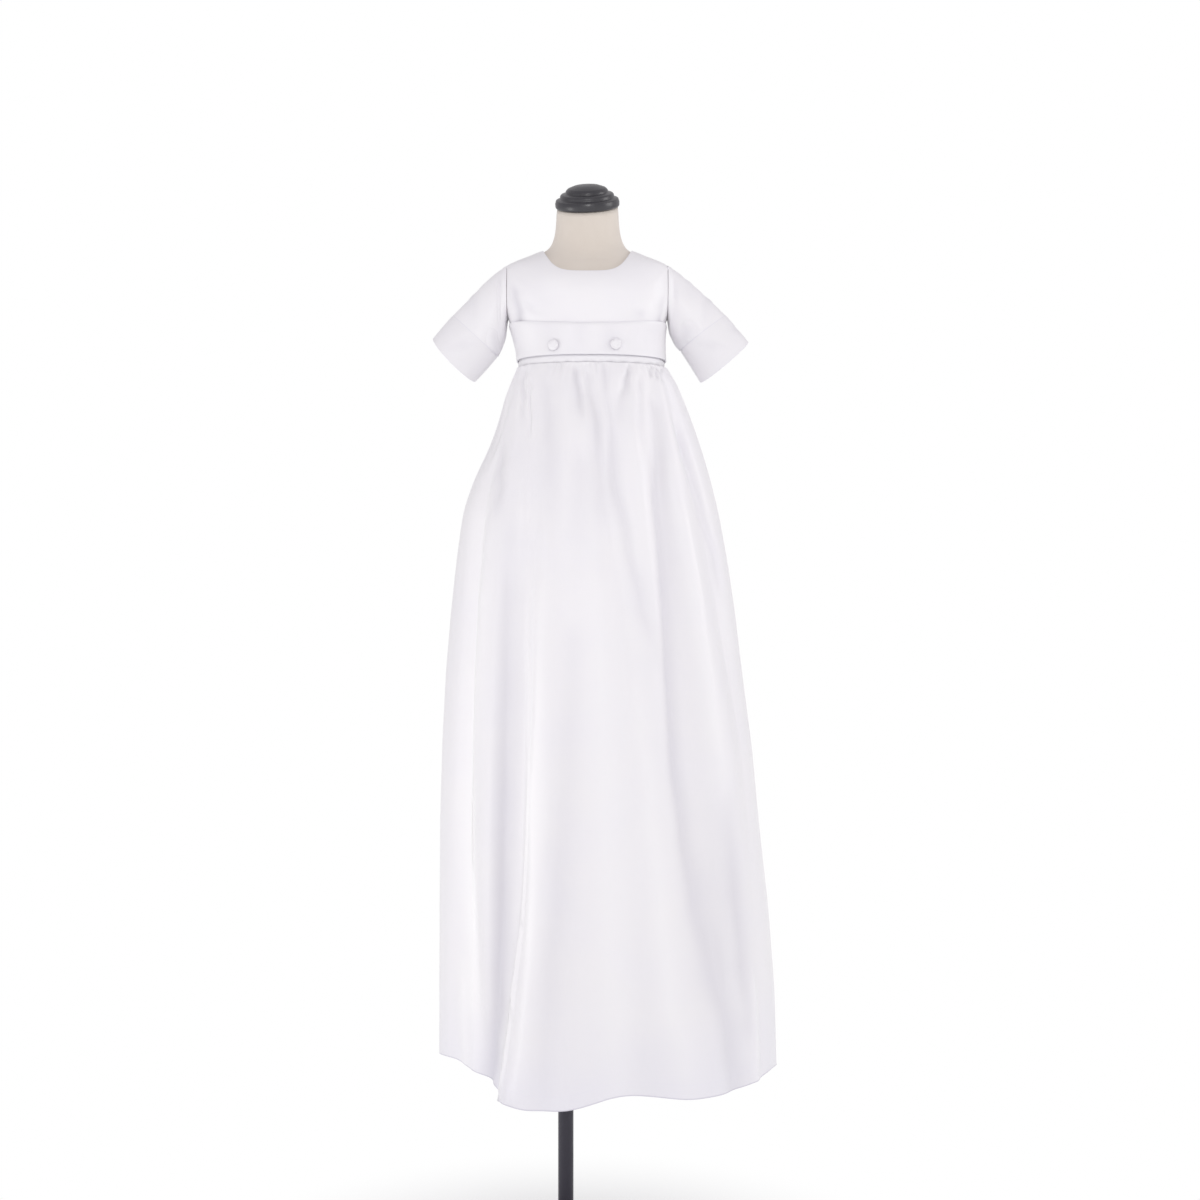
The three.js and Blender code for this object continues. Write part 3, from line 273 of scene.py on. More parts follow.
def colour(name, description, value):
    return bpy.props.FloatVectorProperty(
        name=name, description=description, default=value, size=3, subtype="COLOR", min=0, max=1
    )


class GownSizes(bpy.types.PropertyGroup):
    cloth: length("Cloth", "Thickness of the lined satin", 0.0011)
    folded_cloth: length("Folded cloth", "Thickness of the cuffs, belt and waist strip", 0.0016)
    fold_depth: amount("Fold depth", "Depth of the small folds, 1 as worn", 1.0, min=0.0, max=1.5)
    skirt_fold_depth: amount("Skirt fold depth", "Depth of the skirt's finer folds", 2.1, min=0.0, max=2.5)
    pucker_depth: length("Pucker depth", "Depth of the fine gathers under the waist strip", 0.0007)
    pucker_length: length("Pucker length", "Drop over which the fine gathers fade", 0.017)
    button_radius: length("Button radius", "Radius of a covered button", 0.0064)
    warp: amount("Warp", "Warp threads to a metre", 1500.0)
    weft: amount("Weft", "Weft threads to a metre", 1150.0)


class StandSizes(bpy.types.PropertyGroup):
    cap_radius: length("Cap radius", "Largest radius of the turned cap", 0.0386)
    pole_radius: length("Pole radius", "Radius of the pole", 0.0092)
    base_radius: length("Base radius", "Radius of the round base", 0.15)
    base_edge: length("Base edge", "Height of the base at its edge", 0.007)
    base_crown: length("Base crown", "Height of the base at the pole", 0.011)


class GownColours(bpy.types.PropertyGroup):
    # satin is the satin's own colour and satin_cool its cooler tone, which it takes at random in soft clouds
    # and slubs; satin_cool also tints the painted shade along the cloth's edges and the cooler band towards the
    # hem
    satin: colour("Satin", "White satin in full light", (0.87, 0.852, 0.866))
    satin_cool: colour("Cool satin", "Satin where its threads lie closer", (0.815, 0.80, 0.862))
    # a slightly darker copy of the satin, for the cuffs, belt, waist strip and buttons
    folded_satin: colour("Folded satin", "Satin of doubled bands", (0.83, 0.812, 0.828))
    jersey: colour("Jersey", "The form's knitted cover", (0.72, 0.655, 0.592))
    lacquer: colour("Lacquer", "The turned cap", (0.022, 0.021, 0.026))
    steel: colour("Steel", "The pole and base", (0.043, 0.040, 0.054))


class StageSetup(bpy.types.PropertyGroup):
    sky: amount("Sky", "Strength of the even light from all round", 0.65)
    key: amount("Key", "Power of the large light in front", 14.0, "POWER")
    side: amount("Side", "Power of the light at the left", 9.5, "POWER")
    right: amount("Right", "Power of the light at the right", 9.0, "POWER")
    camera_height: length("Camera height", "Height of the camera", 0.816)
    camera_distance: length("Camera distance", "Distance from the stand", 2.1)


# Cloth.


def model_mesh(node):
    """One of the model's solids as a new bmesh, with its triangles joined to squares again."""
    solid = bmesh.new()
    solid.from_mesh(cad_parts[node].data)
    bmesh.ops.remove_doubles(solid, verts=solid.verts, dist=WELD)
    bmesh.ops.join_triangles(
        solid, faces=solid.faces, angle_face_threshold=math.radians(40), angle_shape_threshold=math.radians(75)
    )
    return solid


def outer_face(node):
    """The outer face of one of the model's cloth walls, as an open sheet in a new bmesh."""
    sheet = model_mesh(node)
    unseen = set(sheet.faces)
    narrow = {f for f in sheet.faces if min(e.calc_length() for e in f.edges) < NARROW}
    largest, most = [], 0.0
    while unseen:
        island = [unseen.pop()]
        for face in island:
            for edge in face.edges:
                sides = edge.link_faces
                if edge.is_manifold and (edge.calc_face_angle() < RIM_TURN or not narrow.intersection(sides)):
                    for other in unseen.intersection(sides):
                        unseen.remove(other)
                        island.append(other)
        area = sum(f.calc_area() for f in island)
        if area > most:
            largest, most = island, area
    keep = set(largest)
    bmesh.ops.delete(sheet, geom=[f for f in sheet.faces if f not in keep], context="FACES")
    if not sheet.faces:
        raise RuntimeError("no outer face was found on " + node)
    return sheet


def cut_long_edges(sheet, longest):
    """Cuts the long edges of a sheet, so that its squares are shorter than the given length."""
    for cuts in (4, 2, 1):
        edges = [e for e in sheet.edges if e.calc_length() > longest * (cuts + 0.6)]
        if edges:
            bmesh.ops.subdivide_edges(sheet, edges=edges, cuts=cuts, use_grid_fill=True)


def smooth_faces(mesh):
    mesh.polygons.foreach_set("use_smooth", [True] * len(mesh.polygons))


def as_object(name, sheet):
    """Makes an object of a bmesh and frees the bmesh."""
    mesh = bpy.data.meshes.new(name)
    sheet.to_mesh(mesh)
    sheet.free()
    piece = bpy.data.objects.new(name, mesh)
    bpy.context.scene.collection.objects.link(piece)
    smooth_faces(mesh)
    return piece


def settle(thing, **settings):
    """Gives a modifier, a node or a lamp its settings, and gives it back."""
    for name, value in settings.items():
        setattr(thing, name, value)
    return thing


def refine(piece, levels):
    """Rounds a piece by some levels of finer squares, and makes them part of its mesh."""
    smooth = piece.modifiers.new("refine", "SUBSURF")
    settle(smooth, levels=levels, render_levels=levels, boundary_smooth="PRESERVE_CORNERS")
    made = bpy.data.meshes.new_from_object(piece.evaluated_get(bpy.context.evaluated_depsgraph_get()))
    piece.modifiers.clear()
    piece.data = made
    smooth_faces(made)


def all_of(items, name, kind=int, width=1):
    """One property of all of a mesh's points, edges, faces or corners."""
    values = np.empty(len(items) * width, kind)
    items.foreach_get(name, values)
    return values


def points_of(piece):
    """A piece's points and their normals."""
    co = all_of(piece.data.vertices, "co", float, 3)
    normals = all_of(piece.data.vertex_normals, "vector", float, 3)
    return co.reshape(-1, 3), normals.reshape(-1, 3)


def cut_cloth(node, levels, longest=None):
    """Begins a piece of cloth with the outer face of its solid. Gives the piece, its points and normals."""
    sheet = outer_face(node)
    if longest:
        cut_long_edges(sheet, longest)
    piece = as_object(node + "_cloth", sheet)
    refine(piece, levels)
    return piece, *points_of(piece)


def move_out(piece, directions, distances):
    co, _ = points_of(piece)
    co += directions * distances[:, None]
    piece.data.vertices.foreach_set("co", co.ravel())
    piece.data.update()


def on_rim(piece):
    """Whether each point lies on the open edge of its sheet."""
    bm = bmesh.new()
    bm.from_mesh(piece.data)
    rim = np.array([v.is_boundary for v in bm.verts])
    bm.free()
    return rim


def evened(piece, rounds):
    """The points of a sheet after some rounds in which each moves to the middle of its neighbours. Its
    edge stays."""
    co, _ = points_of(piece)
    a, b = all_of(piece.data.edges, "vertices", width=2).reshape(-1, 2).T
    still = on_rim(piece)[:, None]
    count = np.bincount(a, minlength=len(co)) + np.bincount(b, minlength=len(co))
    start = co.copy()
    for _ in range(rounds):
        sums = [np.bincount(a, co[b, k], len(co)) + np.bincount(b, co[a, k], len(co)) for k in range(3)]
        co = np.where(still, start, np.column_stack(sums) / count[:, None])
    return co


def fade(t):
    """Goes softly from 0 to 1."""
    t = np.clip(t, 0, 1)
    return t * t * (3 - 2 * t)


def read(table, column, at):
    """A column of a fold's table at any value of its first column, eased between the rows."""
    keys, values = np.array(sorted(table), float)[:, [0, column]].T
    i = np.clip(np.searchsorted(keys, at) - 1, 0, len(keys) - 2)
    return values[i] + (values[i + 1] - values[i]) * fade((at - keys[i]) / (keys[i + 1] - keys[i]))


def fold_heights(folds, along, away_from):
    """How far all folds together move each point out. away_from gives the distance from a place across,
    in millimetres."""
    total = np.zeros(len(along))
    for table in folds.values():
        first, last = min(table)[0] - FOLD_END, max(table)[0] + FOLD_END
        inside = (along > first) & (along < last)
        if not inside.any():
            continue
        a = along[inside]
        ends = fade((a - first) / FOLD_END) * fade((last - a) / FOLD_END)
        distance = away_from(read(table, 1, a), inside) / read(table, 3, a)
        total[inside] += read(table, 2, a) * ends * np.exp(-np.abs(distance) ** FOLD_ROUNDNESS)
    return total * MM


def search_tree(places):
    tree = KDTree(len(places))
    for number, place in places.items():
        tree.insert(place, number)
    tree.balance()
    return tree


def sew_to(piece, *nodes, depth=0.0001):
    """Rolls the edges of a sheet in where it is sewn to other pieces, so that they meet in a shallow
    groove with no gap."""
    mesh = piece.data
    co, normals = points_of(piece)
    others = []
    for node in nodes:
        sheet = outer_face(node)
        others.append(BVHTree.FromBMesh(sheet))
        sheet.free()
    moves = {}
    for i in np.flatnonzero(on_rim(piece)).tolist():
        found = [other.find_nearest(co[i], SEAM_SEARCH) for other in others]
        near = min((f for f in found if f[0] is not None), key=lambda f: f[3], default=None)
        if near:
            moves[i] = (np.array(near[0]) - co[i]) * SEAM_SHARE
    if not moves:
        return
    tree = search_tree({i: co[i] for i in moves})
    shift = np.zeros_like(co)
    for v, place in enumerate(co):
        _, i, distance = tree.find(place)
        if distance < SEAM_REACH * 3:
            pull = math.exp(-((distance / SEAM_REACH) ** 2))
            shift[v] = moves[i] * pull - normals[v] * depth * math.exp(-distance / SEAM_REACH)
    mesh.vertices.foreach_set("co", (co + shift).ravel())
    mesh.update()


def thicken(piece, thickness):
    """Gives a sheet its thickness, inwards. Its cut edges stay crisp."""
    bm = bmesh.new()
    bm.from_mesh(piece.data)
    for edge in bm.edges:
        edge.smooth = not edge.is_boundary
    bm.to_mesh(piece.data)
    bm.free()
    settle(piece.modifiers.new("cloth", "SOLIDIFY"), thickness=thickness, offset=-1, use_rim=True)


def lay_threads(piece, origin, axis, front):
    """Gives a piece a UV map in metres whose first axis runs around an axis and whose second runs along it."""
    mesh = piece.data
    axis, front = Vector(axis).normalized(), Vector(front)
    front = (front - axis * front.dot(axis)).normalized()
    side = axis.cross(front)
    co, _ = points_of(piece)
    away = co - np.array(origin)
    angle = np.arctan2(away @ np.array(side), away @ np.array(front))
    along = away @ np.array(axis)
    radius = np.hypot(away @ np.array(side), away @ np.array(front)).mean()
    loops = all_of(mesh.loops, "vertex_index")
    turn = angle[loops]
    first = np.repeat(turn[all_of(mesh.polygons, "loop_start")], all_of(mesh.polygons, "loop_total"))
    turn -= 2 * math.pi * np.rint((turn - first) / (2 * math.pi))  # no face goes back over the seam
    uv = mesh.uv_layers.new(name="threads")
    uv.data.foreach_set("uv", np.column_stack((turn * radius, along[loops])).ravel())


def edge_distance(piece, chosen=None):
    """Each point's distance from the open edge of its sheet, or from the chosen points of that edge."""
    co, _ = points_of(piece)
    rim = [place for place in map(Vector, co[on_rim(piece)]) if chosen is None or chosen(place)]
    if not rim:
        return np.ones(len(co))
    tree = search_tree(dict(enumerate(rim)))
    return np.array([tree.find(place)[2] for place in co])


def roll_in(piece, depth, reach, chosen):
    """Rolls a sheet in along its edge, so that the edge is round and lies close."""
    _, normals = points_of(piece)
    move_out(piece, normals, -depth * np.exp(-((edge_distance(piece, chosen) / reach) ** 1.5)))


def mark(piece, name, values):
    """Stores a value for each point as an attribute that the satin reads."""
    attribute = piece.data.attributes.new(name, "FLOAT", "POINT")
    attribute.data.foreach_set("value", values)


def finish_piece(piece, material, node):
    """Gives a piece its material, hides the model's solid that it replaces and attaches it to the root."""
    piece.data.materials.clear()
    piece.data.materials.append(material)
    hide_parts(node)
    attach(piece, "root")


def finish_cloth(piece, node, out, origin, axis=UP, front=FORWARD, hem=None):
    """Marks a sheet's edge and how high its points lie on its folds, lays its threads, gives it its thickness
    and its satin. hem tells which points of the edge are hemmed."""
    flat, held, under, full = SHEETS[node]
    sizes = bpy.context.scene.gown_sizes
    mark(piece, "edge", edge_distance(piece, hem))
    # how high each point lies on its folds, which the satin turns into painted shade in troughs and a painted
    # highlight on ridges
    mark(piece, "fold", np.clip(out / full, -1, 1))
    lay_threads(piece, origin, axis, front)
    doubled = held == "folded"
    thicken(piece, sizes.folded_cloth if doubled else sizes.cloth)
    kind = "doubled satin" if doubled else "hemmed satin" if hem else "white satin"
    finish_piece(piece, satin(kind), node)


# Materials.


def wire(tree, node, inputs):
    """Sets the sockets of a node to values, or links them to other sockets."""
    for name, value in inputs.items():
        if isinstance(value, bpy.types.NodeSocket):
            tree.links.new(value, node.inputs[name])
        else:
            node.inputs[name].default_value = value


def add(tree, kind, inputs=None, **settings):
    """Adds a node to a material, a group or the world."""
    node = settle(tree.nodes.new("ShaderNode" + kind), **settings)
    wire(tree, node, inputs or {})
    return node


def maths(tree, operation, *values):
    return add(tree, "Math", dict(enumerate(values)), operation=operation).outputs[0]


def mixed(tree, kind, share, a, b):
    """Two colours mixed, or the first multiplied by the second, by a share."""
    mix = add(tree, "Mix", {"Factor": share, "A": a, "B": b}, data_type="RGBA", blend_type=kind)
    return mix.outputs["Result"]


def noise(tree, place, scale, detail):
    return add(tree, "TexNoise", {"Scale": scale, "Detail": detail, "Vector": place}).outputs["Fac"]


def stretched(tree, place, scale):
    return add(tree, "Mapping", {"Scale": scale, "Vector": place}).outputs["Vector"]


def between(tree, value, low, high):
    return add(tree, "MapRange", {"To Min": low, "To Max": high, "Value": value}).outputs["Result"]


def raised(tree, height, strength, distance):
    bump = add(tree, "Bump", {"Strength": strength, "Distance": distance, "Height": height})
    return bump.outputs["Normal"]


def new_material(name, shown):
    material = bpy.data.materials.new(name)
    material.use_nodes = True
    material.diffuse_color = (*shown, 1)
    tree = material.node_tree
    tree.nodes.clear()
    shader = add(tree, "BsdfPrincipled")
    add(tree, "OutputMaterial", {"Surface": shader.outputs["BSDF"]})
    return material, tree, shader


def new_group(name, inputs, outputs):
    """A node group with numbers in and out. Gives it with its given sockets and its last node."""
    group = bpy.data.node_groups.new(name, "ShaderNodeTree")
    for label, value in inputs.items():
        socket = group.interface.new_socket(name=label, in_out="INPUT", socket_type="NodeSocketFloat")
        socket.default_value = value
    for label in outputs:
        group.interface.new_socket(name=label, in_out="OUTPUT", socket_type="NodeSocketFloat")
    return group, group.nodes.new("NodeGroupInput").outputs, group.nodes.new("NodeGroupOutput")


def grouped(tree, make, inputs):
    """Adds a shared group to a material and makes it first where it isn't there. Gives its outputs."""
    name = make.__name__.replace("_", " ")
    return add(tree, "Group", node_tree=bpy.data.node_groups.get(name) or make(name), inputs=inputs).outputs


def woven_threads(name):
    """Warp and weft of a fine cloth, with slight slubs along the weft."""
    inputs = {"Warp": 1500.0, "Weft": 1150.0, "Slub": 0.4}
    tree, given, result = new_group(name, inputs, ("Height", "Slubs", "Cloud"))
    place = add(tree, "UVMap", uv_map="threads").outputs["UV"]
    parts = add(tree, "SeparateXYZ", {0: place}).outputs
    turns = []
    for axis, count in (("X", "Warp"), ("Y", "Weft")):
        along = maths(tree, "MULTIPLY", parts[axis], given[count])
        turns.append(maths(tree, "SINE", maths(tree, "MULTIPLY", along, 2 * math.pi)))
    weave = maths(tree, "MULTIPLY", maths(tree, "MULTIPLY", *turns), 0.25)
    slubs = noise(tree, stretched(tree, place, (26, 420, 1)), 1.0, 3.0)
    height = maths(tree, "ADD", weave, maths(tree, "MULTIPLY", slubs, given["Slub"]))
    wire(tree, result, {"Height": height, "Slubs": slubs, "Cloud": noise(tree, place, 14.0, 2.0)})
    return tree


def sewn_edge(name):
    """How near a point lies to its sheet's own edge: a fine line at the edge, which the satin darkens as
    painted shade, the line of a hem inside it, and a broad soft band, which tints hemmed satin cooler towards
    the hem."""
    inputs = {"Line width": 0.0006, "Hem": HEM_WIDTH}
    tree, given, result = new_group(name, inputs, ("Line", "Hem line", "Near"))
    edge = add(tree, "Attribute", attribute_name="edge").outputs["Fac"]
    from_hem = maths(tree, "ABSOLUTE", maths(tree, "SUBTRACT", edge, given["Hem"]))
    for label, distance, width in (
        ("Line", edge, given["Line width"]),
        ("Hem line", from_hem, 0.0011),
        ("Near", edge, 0.09),
    ):
        share = maths(tree, "MINIMUM", maths(tree, "DIVIDE", distance, width), 1.0)
        wire(tree, result, {label: maths(tree, "SUBTRACT", 1.0, share)})
    return tree


def satin(name):
    """White satin: threads, slubs, a soft cool cloud, painted shade in the folds' troughs and a painted
    highlight on their ridges, a line of painted shade along its edge, a cooler tint towards the hem, and the
    faint line of a hem inside."""
    if name in bpy.data.materials:
        return bpy.data.materials[name]
    own, edge_shade_width, hem_shade = SATINS[name]
    sizes, colours = bpy.context.scene.gown_sizes, bpy.context.scene.gown_colours
    light = tuple(getattr(colours, own))
    material, tree, shader = new_material(name, light)
    threads = grouped(tree, woven_threads, {"Warp": sizes.warp, "Weft": sizes.weft, "Slub": 0.5})
    edge_bands = grouped(tree, sewn_edge, {"Line width": edge_shade_width, "Hem": HEM_WIDTH})
    # the satin's own uneven tone from its cloud and slubs, mixed with the cool tint of the painted shade at its
    # edge, its hem line and a cooler band towards the hem
    cool = maths(tree, "MULTIPLY", threads["Cloud"], 0.55)
    for mask, share in (
        (threads["Slubs"], 0.16),
        (edge_bands["Line"], 0.5),
        (edge_bands["Hem line"], hem_shade),
        (edge_bands["Near"], hem_shade * 4),
    ):
        cool = maths(tree, "ADD", cool, maths(tree, "MULTIPLY", mask, share))
    shown = mixed(tree, "MIX", cool, (*light, 1), (*colours.satin_cool, 1))
    # painted shade: the satin is darkened in the troughs of its folds, and a painted highlight lightens it on
    # their ridges, by the fold attribute
    fold = add(tree, "Attribute", attribute_name="fold").outputs["Fac"]
    for sign, kind, tone, share in (
        (-1, "MULTIPLY", (0.62, 0.61, 0.67, 1), 0.56),
        (1, "MIX", (0.97, 0.96, 0.97, 1), 0.8),
    ):
        height = maths(tree, "MAXIMUM", maths(tree, "MULTIPLY", fold, sign), 0.0)
        shown = mixed(tree, kind, maths(tree, "MULTIPLY", height, share), shown, tone)
    # painted shade: a darker line along the cloth's edge, much darker on hemmed satin
    line = maths(tree, "MULTIPLY", edge_bands["Line"], 0.15 + hem_shade * 5)
    stitches = maths(tree, "MULTIPLY", edge_bands["Hem line"], hem_shade)
    wire(tree, shader, {
        "Base Color": mixed(tree, "MULTIPLY", line, shown, (0.62, 0.60, 0.66, 1)),
        "Roughness": between(tree, threads["Slubs"], 0.36, 0.48),
        "Normal": raised(tree, maths(tree, "SUBTRACT", threads["Height"], stitches), 0.35, 0.00022),
        "Specular IOR Level": 0.5,
        "Sheen Weight": 0.3,
        "Sheen Roughness": 0.4,
        "Anisotropic": 0.25,
    })
    return material


def knitted_jersey():
    """The ribs of a fine knit, a little uneven in colour."""
    light = tuple(bpy.context.scene.gown_colours.jersey)
    shade = [value * share for value, share in zip(light, (0.93, 0.91, 0.89))]
    material, tree, shader = new_material("knitted jersey", light)
    place = add(tree, "UVMap", uv_map="threads").outputs["UV"]
    across = stretched(tree, place, (1300, 900, 1))
    ribs = add(tree, "TexWave", {"Scale": 0.16, "Distortion": 1.2, "Detail": 1.0, "Vector": across})
    cloud = maths(tree, "MULTIPLY", noise(tree, place, 28.0, 4.0), 0.8)
    wire(tree, shader, {
        "Base Color": mixed(tree, "MIX", cloud, (*light, 1), (*shade, 1)),
        "Roughness": 0.85,
        "Normal": raised(tree, ribs.outputs["Fac"], 0.3, 0.0002),
        "Sheen Weight": 0.3,
        "Sheen Roughness": 0.6,
    })
    return material


def worn_finish(name):
    """Fine scuffs and an upright grain of a hard finish."""
    tree, given, result = new_group(name, {"Scale": 60.0}, ("Scuffs", "Grain"))
    place = add(tree, "TexCoord").outputs["Object"]
    grain = noise(tree, stretched(tree, place, (220, 220, 9)), 1.0, 4.0)
    wire(tree, result, {"Scuffs": noise(tree, place, given["Scale"], 6.0), "Grain": grain})
    return tree


def hard_finish(name):
    """A lacquered or powder coated finish with faint grain and scuffs."""
    if name in bpy.data.materials:
        return bpy.data.materials[name]
    own, lighter, roughness, metallic, coat = HARD_FINISHES[name]
    base = tuple(getattr(bpy.context.scene.gown_colours, own))
    material, tree, shader = new_material(name, base)
    wear = grouped(tree, worn_finish, {"Scale": 60.0})
    grain = maths(tree, "MULTIPLY", wear["Grain"], 0.7)
    wire(tree, shader, {
        "Base Color": mixed(tree, "MIX", grain, (*base, 1), (*(value * lighter for value in base), 1)),
        "Roughness": between(tree, wear["Scuffs"], roughness - 0.06, roughness + 0.1),
        "Normal": raised(tree, wear["Grain"], 0.15, 0.0001),
        "Metallic": metallic,
        "Coat Weight": coat,
        "Coat Roughness": 0.2,
    })
    return material


# Pieces.


class GOWN_OT_skirt(bpy.types.Operator):
    """Makes the skirt's front and back: the model's large folds, with the finer gathers and creases on them"""

    bl_idname = "gown.skirt"
    bl_label = "Skirt"

    def execute(self, context):
        sizes = context.scene.gown_sizes
        for node, other in (("skirt_front", "skirt_back"), ("skirt_back", "skirt_front")):
            piece, co, _ = cut_cloth(node, 2, 0.026)
            heights, backs = zip(*sorted(SKIRT_MIDDLE))
            height = co[:, 2] / MM
            middle = np.interp(height, heights, backs) * MM
            direction = np.degrees(np.arctan2(co[:, 0] - FORM_X, middle - co[:, 1]))
            # the sharpest fold is evened out first and then laid again, so that it runs in one line
            share = np.exp(-(((direction + 30) / 13) ** 4)) * fade((900 - height) / 120)
            move_out(piece, evened(piece, 40) - co, share)
            co, normals = points_of(piece)
            x, y = co[:, 0] - FORM_X, co[:, 1] - middle
            turn = np.arctan2(x, -y)
            direction = np.degrees(turn)
            radius = np.hypot(x, y) / MM

            def away(place, inside):
                apart = (direction[inside] - place + 180) % 360 - 180
                return np.radians(apart) * radius[inside]

            out = fold_heights(SKIRT_FOLDS, height, away) * sizes.skirt_fold_depth
            drop = co[:, 2].max() - co[:, 2]
            uneven = 0.55 + 0.45 * np.sin(7 * turn + 2 * np.sin(3 * turn))
            reach = np.clip(1 - drop / sizes.pucker_length / (0.6 + uneven), 0, 1)
            puckers = np.sin(61 * turn + 2.2 * np.sin(5 * turn) + 1.1 * np.sin(13 * turn))
            out += sizes.pucker_depth * fade(reach) * uneven * puckers
            out *= fade(drop / (2 * MM))  # the edge that is sewn on stays
            move_out(piece, normals, out)
            sew_to(piece, other)
            front = (0, -1 if node == "skirt_front" else 1, 0)
            finish_cloth(piece, node, out, (FORM_X, 0.01, 0), front=front, hem=lambda p: p.z < HEM_BELOW)
        return {"FINISHED"}


class GOWN_OT_bodice(bpy.types.Operator):
    """Makes the bodice's front and back with their soft hollows beside the armholes"""

    bl_idname = "gown.bodice"
    bl_label = "Bodice"

    def execute(self, context):
        depth = context.scene.gown_sizes.fold_depth
        for node, other, front, folds in (
            ("bodice_front", "bodice_back", -1, BODICE_FRONT_FOLDS),
            ("bodice_back", "bodice_front", 1, BODICE_BACK_FOLDS),
        ):
            piece, co, normals = cut_cloth(node, 3)
            across = (co[:, 0] - FORM_X) / MM
            slope = np.maximum(np.abs(normals[:, 1]), 0.3)  # a fold keeps its width where the cloth turns away
            out = depth * fold_heights(
                folds, co[:, 2] / MM, lambda place, inside: (across[inside] - place) / slope[inside]
            )
            move_out(piece, normals, out)
            sew_to(piece, other, "sleeve_right", "sleeve_left", depth=0.0002)
            roll_in(piece, 0.0006, 0.004, lambda p: p.z > 1.195 and abs(p.x - FORM_X) < 0.055)  # the neckline
            finish_cloth(piece, node, out, (FORM_X, 0, 0), front=(0, front, 0))
        return {"FINISHED"}


class GOWN_OT_sleeves(bpy.types.Operator):
    """Makes the two short sleeves and their folded cuffs"""

    bl_idname = "gown.sleeves"
    bl_label = "Sleeves and cuffs"

    def execute(self, context):
        depth = context.scene.gown_sizes.fold_depth
        for side, hand, sleeve_folds, cuff_folds in (
            (-1, "right", RIGHT_SLEEVE_FOLDS, RIGHT_CUFF_FOLDS),
            (1, "left", LEFT_SLEEVE_FOLDS, LEFT_CUFF_FOLDS),
        ):
            sleeve, cuff = "sleeve_" + hand, "cuff_" + hand
            seam = Vector((FORM_X + side * SHOULDER_SEAM[0], 0, SHOULDER_SEAM[1]))
            low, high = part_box(cuff)
            # the middle of the open end lies in from the cuff's lowest and outermost corner
            end = Vector((high[0] if side > 0 else low[0], 0, low[2])) + Vector((-side * 0.028, 0, 0.027))
            axis = (end - seam).normalized()
            up = (UP - axis * UP.dot(axis)).normalized()
            for node, folds in ((sleeve, sleeve_folds), (cuff, cuff_folds)):
                piece, co, normals = cut_cloth(node, 2, 0.009)
                from_seam = (co - np.array(seam)) @ np.array(axis)
                spot = co - np.array(seam) - from_seam[:, None] * np.array(axis)
                around = np.degrees(np.arctan2(-spot[:, 1], spot @ np.array(up)))
                along = (from_seam if node == cuff else np.abs(co[:, 0] - seam[0])) / MM
                out = fold_heights(folds, around, lambda place, inside: along[inside] - place) * depth
                move_out(piece, normals, out)
                if node == cuff:
                    sew_to(piece, sleeve)
                else:
                    sew_to(piece, cuff, "bodice_front", "bodice_back", depth=0.0002)
                finish_cloth(piece, node, out, seam, axis)
        return {"FINISHED"}


class GOWN_OT_belt(bpy.types.Operator):
    """Makes the wide belt and the narrow strip under it"""

    bl_idname = "gown.belt"
    bl_label = "Belt and waist strip"

    def execute(self, context):
        for node in ("belt", "waist_strip"):
            piece, co, normals = cut_cloth(node, 2, 0.006)
            turn = np.arctan2(co[:, 0] - FORM_X, -co[:, 1])
            lowest, highest = co[:, 2].min(), co[:, 2].max()
            share = (co[:, 2] - lowest) / (highest - lowest)  # of the way up
            if node == "belt":  # slight waves, and a top edge that stands off the bodice
                waves = 0.00035 * np.sin(9 * turn + 2 * np.sin(2 * turn)) * fade(share * (1 - share) * 4)
                out = waves + 0.0003 * fade((share - 0.82) / 0.12)
            else:  # the gathers press through, and its top edge goes in under the belt
                waves = 0.0003 * np.sin(37 * turn + 2 * np.sin(4 * turn)) * fade(1 - share * 1.6)
                out = waves - 0.0011 * fade((share - 0.66) / 0.16)
            move_out(piece, normals, out)
            if node == "belt":
                roll_in(piece, 0.0013, 0.0016, lambda p: p.z > 1.12)  # the upper edge
                for button in ("belt_button_right", "belt_button_left"):
                    low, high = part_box(button)
                    co, normals = points_of(piece)
                    away = np.hypot(co[:, 0] - (low[0] + high[0]) / 2, co[:, 2] - (low[2] + high[2]) / 2)
                    pull = np.exp(-((away / UNDER_A_BUTTON) ** 4)) * (co[:, 1] < 0)
                    move_out(piece, normals, -0.0009 * pull)
            else:
                roll_in(piece, 0.0006, 0.0012, lambda p: p.z < 1.097)  # the lower edge
            finish_cloth(piece, node, out, (FORM_X, 0, 0))
        return {"FINISHED"}


def turned(outline, steps):
    """A body turned around the Z axis from an outline of (radius, height), as a new bmesh."""
    body = bmesh.new()
    verts = [body.verts.new((radius, 0, height)) for radius, height in outline]
    edges = [body.edges.new(pair) for pair in zip(verts, verts[1:])]
    bmesh.ops.spin(body, geom=verts + edges, axis=UP, angle=2 * math.pi, steps=steps, use_merge=True)
    bmesh.ops.remove_doubles(body, verts=body.verts, dist=1e-6)
    bmesh.ops.recalc_face_normals(body, faces=body.faces)
    return body


def turned_piece(name, node, finish, slot, outline, steps, rounding, segments=2, place=Matrix()):
    """Turns one part of the stand, rounds its edges and finishes it."""
    body = turned(outline, steps)
    bmesh.ops.transform(body, matrix=place, verts=body.verts)
    piece = as_object(name, body)
    bevel = piece.modifiers.new("edges", "BEVEL")
    settle(bevel, width=rounding, segments=segments, limit_method="ANGLE", angle_limit=math.radians(24))
    finish_piece(piece, hard_finish(finish), node)


def turn_to(direction):
    """The turn from upright to a direction."""
    return UP.rotation_difference(direction).to_matrix().to_4x4()


